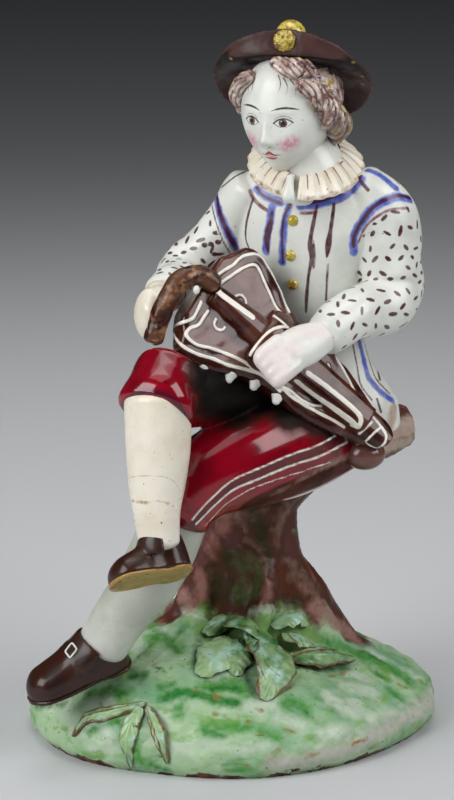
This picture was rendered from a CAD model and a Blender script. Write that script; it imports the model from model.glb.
# Looks of a tin-glazed earthenware figurine: a seated boy who plays a hurdy-gurdy.
# Lengths are millimetres until a mesh is made, +Z up, the figure's front towards -Y.
import math

import bmesh
import bpy
import numpy as np
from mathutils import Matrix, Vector
from mathutils.bvhtree import BVHTree


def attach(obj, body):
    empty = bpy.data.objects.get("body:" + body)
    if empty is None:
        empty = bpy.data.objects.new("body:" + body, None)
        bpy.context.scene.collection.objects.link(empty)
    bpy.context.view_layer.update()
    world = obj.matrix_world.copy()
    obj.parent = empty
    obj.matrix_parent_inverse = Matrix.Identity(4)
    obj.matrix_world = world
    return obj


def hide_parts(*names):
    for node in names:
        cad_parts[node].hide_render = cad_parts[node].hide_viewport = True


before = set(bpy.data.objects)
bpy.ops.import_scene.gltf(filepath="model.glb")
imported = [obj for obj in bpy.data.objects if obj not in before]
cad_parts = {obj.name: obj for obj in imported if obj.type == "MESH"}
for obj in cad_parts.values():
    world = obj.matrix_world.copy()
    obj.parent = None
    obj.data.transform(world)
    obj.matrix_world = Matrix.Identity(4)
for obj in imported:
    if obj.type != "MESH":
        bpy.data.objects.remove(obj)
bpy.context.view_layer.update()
metre = 0.001  # one millimetre in scene units
fine = 1.0

# The camera looks down a little, from as far as a studio lens stands
view = {
    "target": (-1.25, 0, 86.5),  # mm
    "distance": 700,  # mm
    "lookDown": 15,  # degrees
    "frameWidth": 454,  # pixels
    "frameHeight": 800,
    "millimetresPerPixel": 0.25,  # at the target
}


def cameraAxes():
    # right, up and forward unit vectors and the camera's place, from the angle it looks down
    angle = math.radians(view["lookDown"])
    ahead = np.array([0, math.cos(angle), -math.sin(angle)])
    up = np.array([0, math.sin(angle), math.cos(angle)])
    place = np.array(view["target"]) - view["distance"] * ahead
    return np.array([1.0, 0, 0]), up, ahead, place


def addObject(name, data):
    made = bpy.data.objects.new(name, data)
    bpy.context.scene.collection.objects.link(made)
    return made


def placeCamera():
    _, _, ahead, place = cameraAxes()
    data = bpy.data.cameras.new("camera")
    data.sensor_width = 36
    focalPixels = view["distance"] / view["millimetresPerPixel"]
    data.lens = data.sensor_width * focalPixels / view["frameHeight"]
    camera = addObject("camera", data)
    camera.location = Vector(place) * metre
    camera.rotation_euler = Vector(ahead).to_track_quat("-Z", "Y").to_euler()
    bpy.context.scene.camera = camera
    print("camera placed")


placeCamera()


# Numbers and curves


def unit(v):
    # a vector over its length
    return v / np.maximum(np.linalg.norm(v, axis=-1, keepdims=True), 1e-9)


def mixed(a, b, t):
    # the straight line from a at t = 0 to b at t = 1
    return a + (b - a) * t


def eased(value, start, end):
    # 0 before start, 1 after end, and a smooth S between
    t = np.clip((value - start) / (end - start), 0, 1)
    return t * t * (3 - 2 * t)


def upTo(end, count):
    return np.linspace(0, end, int(count * fine))


def fullTurn(count):
    # angles once round, without the last one, which is the first
    return np.linspace(0, 2 * np.pi, int(count * fine), endpoint=False)


def alongCurve(values, share):
    # a smooth cubic through evenly spaced rows, read at shares from 0 to 1 of its length
    values = np.asarray(values, float)
    values = values.reshape(len(values), -1)
    place = np.clip(share, 0, 1) * (len(values) - 1)
    i = np.minimum(place.astype(int), len(values) - 2)
    f = (place - i)[:, None]
    a, b, c, d = [values[np.clip(i + k, 0, len(values) - 1)] for k in (-1, 0, 1, 2)]
    return b + 0.5 * f * (c - a + f * (2 * a - 5 * b + 4 * c - d + f * (3 * (b - c) + d - a)))


def waves(points, length, seed, count=9):
    # soft unevenness about -1 to 1: sines of the given wavelength in mm, summed over random directions
    rng = np.random.default_rng(seed)
    total = np.zeros(points.shape[:-1])
    for _ in range(count):
        direction = unit(rng.normal(size=3))
        stretch = rng.uniform(0.6, 1.6)
        total += np.sin(points @ direction * (2 * np.pi * stretch / length) + rng.uniform(0, 6.28))
    return total / math.sqrt(count)


# Surfaces: a grid of points in rows and columns, whose columns go round


def sweepFrame(stations, side, t):
    # at shares t of a smooth spine: its numbers, the way ahead, and the two ways across it
    stations, side = np.asarray(stations, float), np.array(side, float)
    row = alongCurve(stations, t)
    ahead = unit(alongCurve(stations[:, :3], t + 0.01) - alongCurve(stations[:, :3], t - 0.01))
    across = unit(side - (ahead @ side)[:, None] * ahead)
    return row, ahead, across, np.cross(ahead, across)


def sweptForm(stations, side=(1, 0, 0), around=48, lengthwise=60, bulge=(0.5, 0.5), swell=None):
    # rings a*cos and b*sin about a smooth spine, ended by quarter ellipses
    lengthwise, capRows = int(lengthwise * fine), 9
    capAngle = np.radians(np.linspace(90, 0, capRows, endpoint=False))
    t = np.concatenate([np.zeros(capRows), np.linspace(0, 1, lengthwise + 1), np.ones(capRows)])
    lift = np.concatenate([-bulge[0] * np.sin(capAngle), np.zeros(lengthwise + 1),
                           bulge[1] * np.sin(capAngle[::-1])])
    shrink = np.concatenate([np.cos(capAngle), np.ones(lengthwise + 1), np.cos(capAngle[::-1])])
    row, ahead, across, front = sweepFrame(stations, side, t)
    a, b = row[:, 3], row[:, 4]
    centre = row[:, :3] + ahead * (np.minimum(a, b) * lift)[:, None]
    angle = fullTurn(around)
    extra = swell(t[:, None], angle[None, :]) * shrink[:, None] if swell else 0
    reachA = ((a * shrink)[:, None] + extra) * np.cos(angle)
    reachB = ((b * shrink)[:, None] + extra) * np.sin(angle)
    return centre[:, None] + across[:, None] * reachA[..., None] + front[:, None] * reachB[..., None]


def onSweep(stations, side, t, angle, proud=0.0):
    # points of a swept form: the spine at t plus a*cos and b*sin of the angle, "proud" mm outside it
    t, angle = np.broadcast_arrays(np.asarray(t, float), np.asarray(angle, float))
    row, _, across, front = sweepFrame(stations, side, t)
    reachA = (row[:, 3] + proud) * np.cos(angle)
    reachB = (row[:, 4] + proud) * np.sin(angle)
    return row[:, :3] + across * reachA[:, None] + front * reachB[:, None]


def roundLump(centre, half, rows=36, around=48, swell=None):
    # an ellipsoid: sines and cosines of the polar angle and the turn
    polar, turn = upTo(np.pi, rows)[:, None], fullTurn(around)[None, :]
    ball = np.stack([np.sin(polar) * np.cos(turn), np.sin(polar) * np.sin(turn),
                     np.cos(polar) * np.ones_like(turn)], -1)
    grow = 1 if swell is None else 1 + swell(ball)[..., None]
    return np.array(centre) + ball * np.array(half) * grow


def gridFaces(points):
    # quads between neighbouring rows, and a fan to one point at each pole
    rows, columns = points.shape[:2]
    verts = points[1:rows - 1].reshape(-1, 3)
    i, j = np.arange(rows - 3)[:, None], np.arange(columns)[None, :]
    k = (j + 1) % columns
    quads = np.stack([i * columns + j, i * columns + k, (i + 1) * columns + k, (i + 1) * columns + j], -1)
    faces = quads.reshape(-1, 4).tolist()
    around = np.arange(columns)
    for first, pole in ((0, points[0]), ((rows - 3) * columns, points[-1])):
        tip = np.full(columns, len(verts))
        verts = np.vstack([verts, pole.mean(0)])
        faces += np.stack([first + around, tip, first + (around + 1) % columns], -1).tolist()
    return verts, faces


def closedEnds(grid):
    # a middle point before the first row and after the last, so that both ends close
    return np.concatenate([grid[:1] * 0 + grid[0].mean(0), grid, grid[-1:] * 0 + grid[-1].mean(0)])


def ringFaces(points):
    # quads of a surface that closes in both directions, such as a hoop
    rows, columns = points.shape[:2]
    i, j = np.arange(rows)[:, None], np.arange(columns)[None]
    k, m = (i + 1) % rows, (j + 1) % columns
    quads = np.stack([i * columns + j, i * columns + m, k * columns + m, k * columns + j], -1)
    return points.reshape(-1, 3), quads.reshape(-1, 4).tolist()


def joined(surfaces):
    # several (points, faces) lists as one
    verts, faces, base = [], [], 0
    for points, polygons in surfaces:
        verts.append(points)
        faces += [[index + base for index in polygon] for polygon in polygons]
        base += len(points)
    return np.vstack(verts), faces


def makeMesh(name, verts, faces):
    # a smoothly shaded mesh from places in mm, its faces turned outwards
    mesh = bpy.data.meshes.new(name)
    mesh.from_pydata((np.asarray(verts) * metre).tolist(), [], faces)
    work = bmesh.new()
    work.from_mesh(mesh)
    bmesh.ops.recalc_face_normals(work, faces=work.faces)
    work.to_mesh(mesh)
    work.free()
    mesh.polygons.foreach_set("use_smooth", np.ones(len(mesh.polygons), bool))
    return mesh


def fused(name, forms, voxel, smoothing):
    # the same for forms that are grids with closed ends
    return fusedSurfaces(name, [gridFaces(form) for form in forms], voxel, smoothing)


def fusedSurfaces(name, surfaces, voxel, smoothing):
    # overlapping closed surfaces made one skin on a grid of "voxel" mm, then relaxed
    source = addObject(name, makeMesh(name, *joined(surfaces)))
    remesh = source.modifiers.new("skin", "REMESH")
    remesh.mode = "VOXEL"
    remesh.voxel_size = voxel * metre / fine
    relax = source.modifiers.new("relax", "SMOOTH")
    relax.factor = 0.5
    relax.iterations = smoothing
    graph = bpy.context.evaluated_depsgraph_get()
    mesh = bpy.data.meshes.new_from_object(source.evaluated_get(graph))
    bpy.data.objects.remove(source)
    mesh.name = name
    mesh.polygons.foreach_set("use_smooth", np.ones(len(mesh.polygons), bool))
    return mesh


def places(mesh):
    # vertex places in mm, as rows
    flat = np.empty(len(mesh.vertices) * 3, np.float32)
    mesh.vertices.foreach_get("co", flat)
    return flat.reshape(-1, 3).astype(float) / metre


def setPlaces(mesh, points):
    mesh.vertices.foreach_set("co", (points * metre).astype(np.float32).ravel())
    mesh.update()


def normalsOf(mesh):
    flat = np.empty(len(mesh.vertices) * 3, np.float32)
    mesh.vertex_normals.foreach_get("vector", flat)
    return flat.reshape(-1, 3).astype(float)


def pushOut(mesh, points, height):
    # each vertex moved along its normal by a height in mm
    points += normalsOf(mesh) * height[:, None]
    setPlaces(mesh, points)


def setField(mesh, name, values):
    field = mesh.attributes.new(name, "FLOAT", "POINT")
    field.data.foreach_set("value", np.asarray(values, np.float32))


def addPiece(name, mesh, material):
    piece = addObject(name, mesh)
    mesh.materials.append(material)
    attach(piece, "root")
    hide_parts("figurine")
    print("made", name, len(mesh.polygons), "faces")


def addForm(name, surface, material):
    # a piece straight from its points and faces
    addPiece(name, makeMesh(name.replace("_", " "), *surface), material)


# Painted strokes: how far each vertex is from the nearest stroke's edge, in mm, negative inside it


def strokeField(points, strokes, far=3.0):
    # distance to each short segment less the brush's half-width there, the least over all segments
    field = np.full(len(points), float(far))
    for path, half in strokes:
        path = np.asarray(path, float)
        half = np.broadcast_to(np.asarray(half, float), len(path))
        start, run = path[:-1], path[1:] - path[:-1]
        reach = far + half.max()
        near = np.all((points > path.min(0) - reach) & (points < path.max(0) + reach), axis=1).nonzero()[0]
        for block in np.array_split(near, max(1, len(near) * len(start) // 400000)):
            offset = points[block][:, None] - start[None]
            share = np.clip((offset * run).sum(-1) / np.maximum((run * run).sum(-1), 1e-9), 0, 1)
            gap = np.linalg.norm(offset - share[..., None] * run, axis=-1)
            gap -= half[:-1] + share * (half[1:] - half[:-1])
            field[block] = np.minimum(field[block], gap.min(1))
    return field


def skinOf(mesh):
    # a search tree over the faces of a mesh
    points = places(mesh)
    return BVHTree.FromPolygons(points.tolist(), [list(face.vertices) for face in mesh.polygons])


def sightLines(pixels):
    # unit vectors from the camera through places of its frame
    right, up, ahead, _ = cameraAxes()
    middle = [view["frameWidth"] / 2, view["frameHeight"] / 2]
    offset = (pixels - middle) * view["millimetresPerPixel"]
    return unit(ahead * view["distance"] + right * offset[..., :1] - up * offset[..., 1:])


def castStroke(tree, pixels, spacing=1.5):
    # a brush stroke seen in the camera's frame, laid on the surface along the lines of sight
    pixels = np.asarray(pixels, float)
    length = np.linalg.norm(np.diff(pixels, axis=0), axis=1).sum()
    dense = alongCurve(pixels, np.linspace(0, 1, max(2, int(length / spacing))))
    eye = Vector(cameraAxes()[3])
    hits = [tree.ray_cast(eye, Vector(line))[0] for line in sightLines(dense)]
    return np.array([hit for hit in hits if hit is not None]).reshape(-1, 3)


def rayThrough(tree, pixel):
    # where the line of sight through one pixel meets the surface, and the way that surface faces
    eye = Vector(cameraAxes()[3])
    hit, normal, _, _ = tree.ray_cast(eye, Vector(sightLines(np.array(pixel, float))))
    return np.array(hit), np.array(normal)


def nearestOn(tree, points):
    # for each point the nearest place on the surface
    return np.array([tree.find_nearest(Vector(point))[0] for point in points])


def brushStrokes(tree, lines):
    # a line is its half-width in mm, or a list of them, then x, y, x, y in camera pixels; one that misses is
    # dropped
    strokes = []
    for half, *pixels in lines:
        path = castStroke(tree, np.reshape(pixels, (-1, 2)))
        if len(path) > 1:
            widths = alongCurve(half, np.linspace(0, 1, len(path)))[:, 0] if np.ndim(half) else half
            strokes.append((path, widths))
    return strokes


def setStrokes(mesh, points, tree, groups):
    # one field for each named group of brush lines
    for name, lines in groups.items():
        setField(mesh, name, strokeField(points, brushStrokes(tree, lines)))


# Materials


def colourOf(code):
    # an sRGB hex value as linear red, green, blue and alpha
    values = np.array([int(code[i:i + 2], 16) for i in (1, 3, 5)]) / 255
    linear = np.where(values <= 0.04045, values / 12.92, ((values + 0.055) / 1.055) ** 2.4)
    return (*linear.tolist(), 1)


def addNode(tree, kind, inputs=(), **settings):
    # one node: its settings, then its inputs by name or in order, each a value or what is linked to it
    node = tree.nodes.new("ShaderNode" + kind)
    for key, value in settings.items():
        setattr(node, key, value)
    for key, value in (inputs if isinstance(inputs, dict) else dict(enumerate(inputs))).items():
        if isinstance(value, bpy.types.Node):
            value = value.outputs[0]
        if isinstance(value, bpy.types.NodeSocket):
            tree.links.new(value, node.inputs[key])
        else:
            node.inputs[key].default_value = value
    return node


def perMillimetre(length):
    # a texture scale that repeats about every "length" mm
    return 1 / (length * metre)


def newMaterial(name):
    # an empty material, with the object's own coordinates
    material = bpy.data.materials.new(name)
    material.use_nodes = True
    tree = material.node_tree
    tree.nodes.clear()
    where = addNode(tree, "TexCoord").outputs["Object"]
    return material, tree, where


def cloud(tree, where, length, detail=3, stretch=(1, 1, 1), low=0.4, high=0.6):
    # noise of one size in mm, cut between low and high into soft patches from 0 to 1
    placed = addNode(tree, "Mapping", {"Vector": where, "Scale": stretch})
    noise = addNode(tree, "TexNoise", {"Vector": placed, "Scale": perMillimetre(length), "Detail": detail})
    return addNode(tree, "MapRange", [noise, low, high], interpolation_type="SMOOTHSTEP").outputs[0]


def graded(tree, where, source, low, high, stir=None, kind="LINEAR"):
    # a field or socket carried from low and high to 0 and 1; noise of (mm, detail, amount) stirs its edge
    if isinstance(source, str):
        source = addNode(tree, "Attribute", attribute_name=source).outputs["Fac"]
    if stir:
        length, detail, amount = stir
        noise = addNode(tree, "TexNoise", {"Vector": where, "Scale": perMillimetre(length), "Detail": detail})
        source = addNode(tree, "Math", [noise, amount, source], operation="MULTIPLY_ADD")
    return addNode(tree, "MapRange", [source, low, high], interpolation_type=kind).outputs[0]


def layered(tree, colour, *layers):
    # further colours laid over one in their order, each by its own amount
    for over, amount in layers:
        colour = addNode(tree, "Mix", {0: amount, 6: colour, 7: over}, data_type="RGBA").outputs[2]
    return colour


def patched(tree, where, colour, patches):
    # clouds of colour: name, size in mm, detail, stretch, and the noise where each starts and is full
    for name, length, detail, stretch, low, high in patches:
        colour = layered(tree, colour, (paint[name], cloud(tree, where, length, detail, stretch, low, high)))
    return colour


def brushed(tree, where, under, field, colour, soft, ragged, thin):
    # paint inside a stroke field: a ragged edge, and thinner paint in patches
    inside = graded(tree, where, field, ragged + soft, ragged - soft, (1.7, 3, ragged * 2))
    cover = addNode(tree, "MapRange", [cloud(tree, where, 1.6, low=0.3, high=0.75), 0, 1, 1, 1 - thin])
    return layered(tree, under, (colour, addNode(tree, "Math", [inside, cover], operation="MULTIPLY")))


def painted(tree, where, colour, strokes):
    # brushed fields in their order: field, colour, softness and raggedness of its edge in mm, thinness
    for field, name, soft, ragged, thin in strokes:
        colour = brushed(tree, where, colour, field, paint[name], soft, ragged, thin)
    return colour


def specked(tree, where, colour, name, length, rarity):
    # fly specks and pinholes: the rare peaks of a fine noise
    dots = cloud(tree, where, length, detail=1, low=rarity, high=rarity + 0.035)
    return layered(tree, colour, (paint[name], dots))


firing = {
    "refraction": 1.5,
    "coatRoughness": 0.1,
    "bumpDepth": 0.4,  # mm
    "grain": 0.55,  # mm, the size of pits
    "uneven": (6, 0.8, 1.5),  # mm, and the roughness's least and most share
}


def glazed(tree, where, colour, roughness=0.16, coat=0.6, ripple=0.25, rippleLength=2.4, pits=0.0, sheen=0.5):
    # the fired surface: a clear coat over the colour, with the slow ripple of a run glaze
    height = addNode(tree, "TexNoise", {
        "Vector": where, "Scale": perMillimetre(rippleLength), "Detail": 2, "Roughness": 0.4})
    if pits:
        grain = addNode(tree, "TexNoise", {
            "Vector": where, "Scale": perMillimetre(firing["grain"]), "Detail": 2})
        height = addNode(tree, "Math", [grain, pits, height], operation="MULTIPLY_ADD")
    bump = addNode(tree, "Bump", {
        "Strength": ripple, "Distance": firing["bumpDepth"] * metre, "Height": height})
    length, least, most = firing["uneven"]
    uneven = addNode(tree, "MapRange", [cloud(tree, where, length, low=0.35, high=0.7), 0, 1, least, most])
    shader = addNode(tree, "BsdfPrincipled", {
        "Base Color": colour, "Roughness": addNode(tree, "Math", [uneven, roughness], operation="MULTIPLY"),
        "IOR": firing["refraction"], "Specular IOR Level": sheen, "Coat Weight": coat,
        "Coat Roughness": firing["coatRoughness"], "Coat IOR": firing["refraction"], "Normal": bump})
    addNode(tree, "OutputMaterial", {"Surface": shader})


def glaze(name, ground, patches, specks=None, strokes=(), extra=None, **fire):
    # a whole material: ground colour, patches, specks as (colour, mm, rarity), brushwork, and its firing
    material, tree, where = newMaterial(name)
    colour = patched(tree, where, paint[ground], patches)
    if specks:
        colour = specked(tree, where, colour, *specks)
    colour = painted(tree, where, colour, strokes)
    if extra:
        colour = extra(tree, where, colour)
    glazed(tree, where, colour, **fire)
    return material


even = (1, 1, 1)
paint = {  # sRGB colours of the glazes and enamels
    # glazes that several pieces share
    "tin": "#e1e3dc", "greyTin": "#acafa2", "tinShade": "#ced1c9", "cream": "#eae3d5",
    "creamShade": "#ded5c0", "white": "#ece8dd", "black": "#0b0604", "umber": "#2a100a", "clay": "#6a4025",
    "ochre": "#93682a", "ochrePale": "#a68a4a", "plum": "#481425", "rosePlum": "#79384a",
    "redBrown": "#31100b", "rose": "#bf7d88",
    # ground, bark and leaves
    "paleGreen": "#a4c199", "sea": "#79a77f", "softGrass": "#79a45d", "grassGreen": "#438a37",
    "duskGreen": "#44673d", "emerald": "#1e7226", "mistWhite": "#b9c9b4", "rimPink": "#bfb7b1",
    "fleckOchre": "#8a6b2c", "barkPlum": "#512d26", "barkPlumDeep": "#573131", "barkBrown": "#4d2d1b",
    "barkRose": "#8e5f55", "barkRed": "#552813", "barkOlive": "#312c10", "barkGreen": "#577240",
    "barkPale": "#85685d", "footRose": "#967268", "knobPale": "#b39e90", "leafDeep": "#2e7037",
    "leafOlive": "#668a4d", "leafPale": "#97b783", "leafMist": "#a2ccb7", "leafBrown": "#68401b",
    "leafShade": "#111e0d",
    # dress
    "crimson": "#8e081e", "crimsonDark": "#3c040b", "crimsonDeep": "#6a0514", "plumBrown": "#511116",
    "supportBrown": "#371908", "shoe": "#351b11", "shoePlum": "#281613", "sole": "#a78343",
    "blue": "#4859b4", "blueWash": "#97a0dc", "yellow": "#ac992c", "yellowPale": "#d5c65f",
    "rimBrown": "#876238", "hat": "#3c2724", "hatMauve": "#4a312f", "hatShade": "#47312d",
    "hatDark": "#110906",
    # head, hair and hands
    "rouge": "#d17a95", "browInk": "#240b10", "lip": "#ab3748", "iris": "#481c0e", "hair": "#98796d",
    "hairPale": "#d5c3ba", "hairPlum": "#4b2125", "blushed": "#e1d7d4", "hairInk": "#2c0b0e",
    # instrument
    "board": "#552b1f", "boardPale": "#6c4842", "rust": "#593723", "rustPale": "#996c4d",
}
paint = {name: colourOf(code) for name, code in paint.items()}


def whiteTinGlaze(name="white tin glaze", strokes=(), extra=None):
    # opaque tin glaze on earthenware: cool milky white, broad soft shine, a few specks
    return glaze(name, "tin", [("tinShade", 9, 3, even, 0.35, 0.75)], ("umber", 0.8, 0.775), strokes, extra,
                 roughness=0.34, coat=0.14)


def creamPaint(name="cream restoration", strokes=()):
    # paint over a filled repair: warmer and less glassy than the glaze round it
    return glaze(name, "cream", [("creamShade", 7, 3, even, 0.35, 0.75)], ("clay", 0.9, 0.75), strokes,
                 roughness=0.3, coat=0.2, ripple=0.15)


# Base: mound and stump under brushed copper green and manganese

base = {
    "moundCentre": (3, 3),
    "peak": (-6, 5),  # where the ground is highest
    "rim": [49.5, 50, 44, 39.5, 42, 49, 55, 52, 44, 41.4, 41, 43.5],  # radius each 30 degrees from +X
    "profile": [(0.95, 0), (0.99, 2.2), (1, 5.5), (0.985, 8.5), (0.945, 11.4), (0.88, 14), (0.77, 17.8),
                (0.62, 22), (0.45, 26.2), (0.28, 29.2), (0.1, 31)],  # share of the radius, height
    "foot": 4,
    "trunk": [(9, 6, 18, 20, 16), (7.2, 6, 32, 15.5, 13), (5.2, 5.5, 44, 12.4, 11), (4.8, 5.5, 54, 12, 11),
              (6, 6, 62, 12, 11.4), (11, 6, 69, 12.6, 11)],
    "roots": [
        [(11, 4, 46, 4, 4), (17.4, 6, 35.4, 5.6, 5), (23.4, 9.4, 26.4, 5, 4.5), (30.4, 13, 18, 3.2, 3)],
        [(8, -2, 44, 4, 4), (8.2, -6, 37, 3.8, 3.4), (6.8, -8.6, 31, 3.2, 3), (4.6, -10.6, 26.4, 2.4, 2)],
        [(0, 4, 57, 7, 7), (-3, 3.6, 48, 6.4, 6.4), (-6.4, 3, 39.5, 5.2, 5), (-10, 2.4, 32, 4.4, 4.2),
         (-15, 2, 25, 3.2, 3)],
        [(8, 14, 42, 4, 4), (8, 19, 33, 5, 4.5), (6, 25, 25, 4.2, 4), (4, 30, 17, 3, 2.5)],
    ],
    "seat": [(4, 6, 71, 10, 6.5), (17, 7, 73, 13.5, 8), (30, 8, 75, 12, 8), (38, 9.5, 76.4, 9, 7.4),
             (43.4, 10, 77.4, 6.2, 5.6)],
    "hollows": [  # camera pixel of the middle, radius and depth, mm
        ((238, 566), 5.6, 1.7), ((234, 586), 5.4, 1.6), ((262, 524), 4, 1.2), ((288, 598), 4.4, 1.4),
        ((264, 556), 2.6, 0.8), ((200, 552), 3, 0.6),
    ],
    "welts": [  # half-width and camera pixels of raised folds in the bark
        (0.9, 243, 540, 256, 548, 264, 562, 265, 578, 258, 594),
        (0.9, 276, 532, 283, 512, 294, 499, 310, 488), (1.0, 270, 582, 265, 598, 255, 612),
        (1.0, 303, 572, 316, 590, 328, 610, 344, 632), (0.8, 206, 566, 206, 584, 203, 600),
        (0.6, 222, 512, 216, 530, 210, 548),
    ],
    "voxel": 0.64,  # mm
    # clouds of colour, as the patched function takes them
    "turfPatches": [
        ("sea", 17, 4, even, 0.38, 0.66), ("mistWhite", 8, 5, (0.8, 1, 1.6), 0.52, 0.72),
        ("softGrass", 5, 6, (0.7, 1, 1.8), 0.5, 0.68), ("grassGreen", 12, 6, (0.8, 1, 1.8), 0.58, 0.74),
        ("emerald", 5.5, 6, (0.7, 1, 1.8), 0.66, 0.76), ("fleckOchre", 1.9, 4, (0.6, 1, 1.8), 0.69, 0.74),
    ],
    "barkPatches": [
        ("barkBrown", 9, 4, (1, 1, 0.6), 0.42, 0.6), ("barkRose", 6, 5, (1.1, 1.1, 0.5), 0.56, 0.72),
        ("barkPale", 5, 6, (1.3, 1.3, 0.5), 0.64, 0.8), ("barkOlive", 7, 4, (1.2, 1.2, 0.5), 0.58, 0.74),
    ],
    "barkEdge": (7.0, 4.8),  # mm from the wood's core, where bark starts and is full
    "bareFoot": (5.3, 4.9),  # mm of wandering height, where the glaze ends and bare clay starts
}

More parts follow.
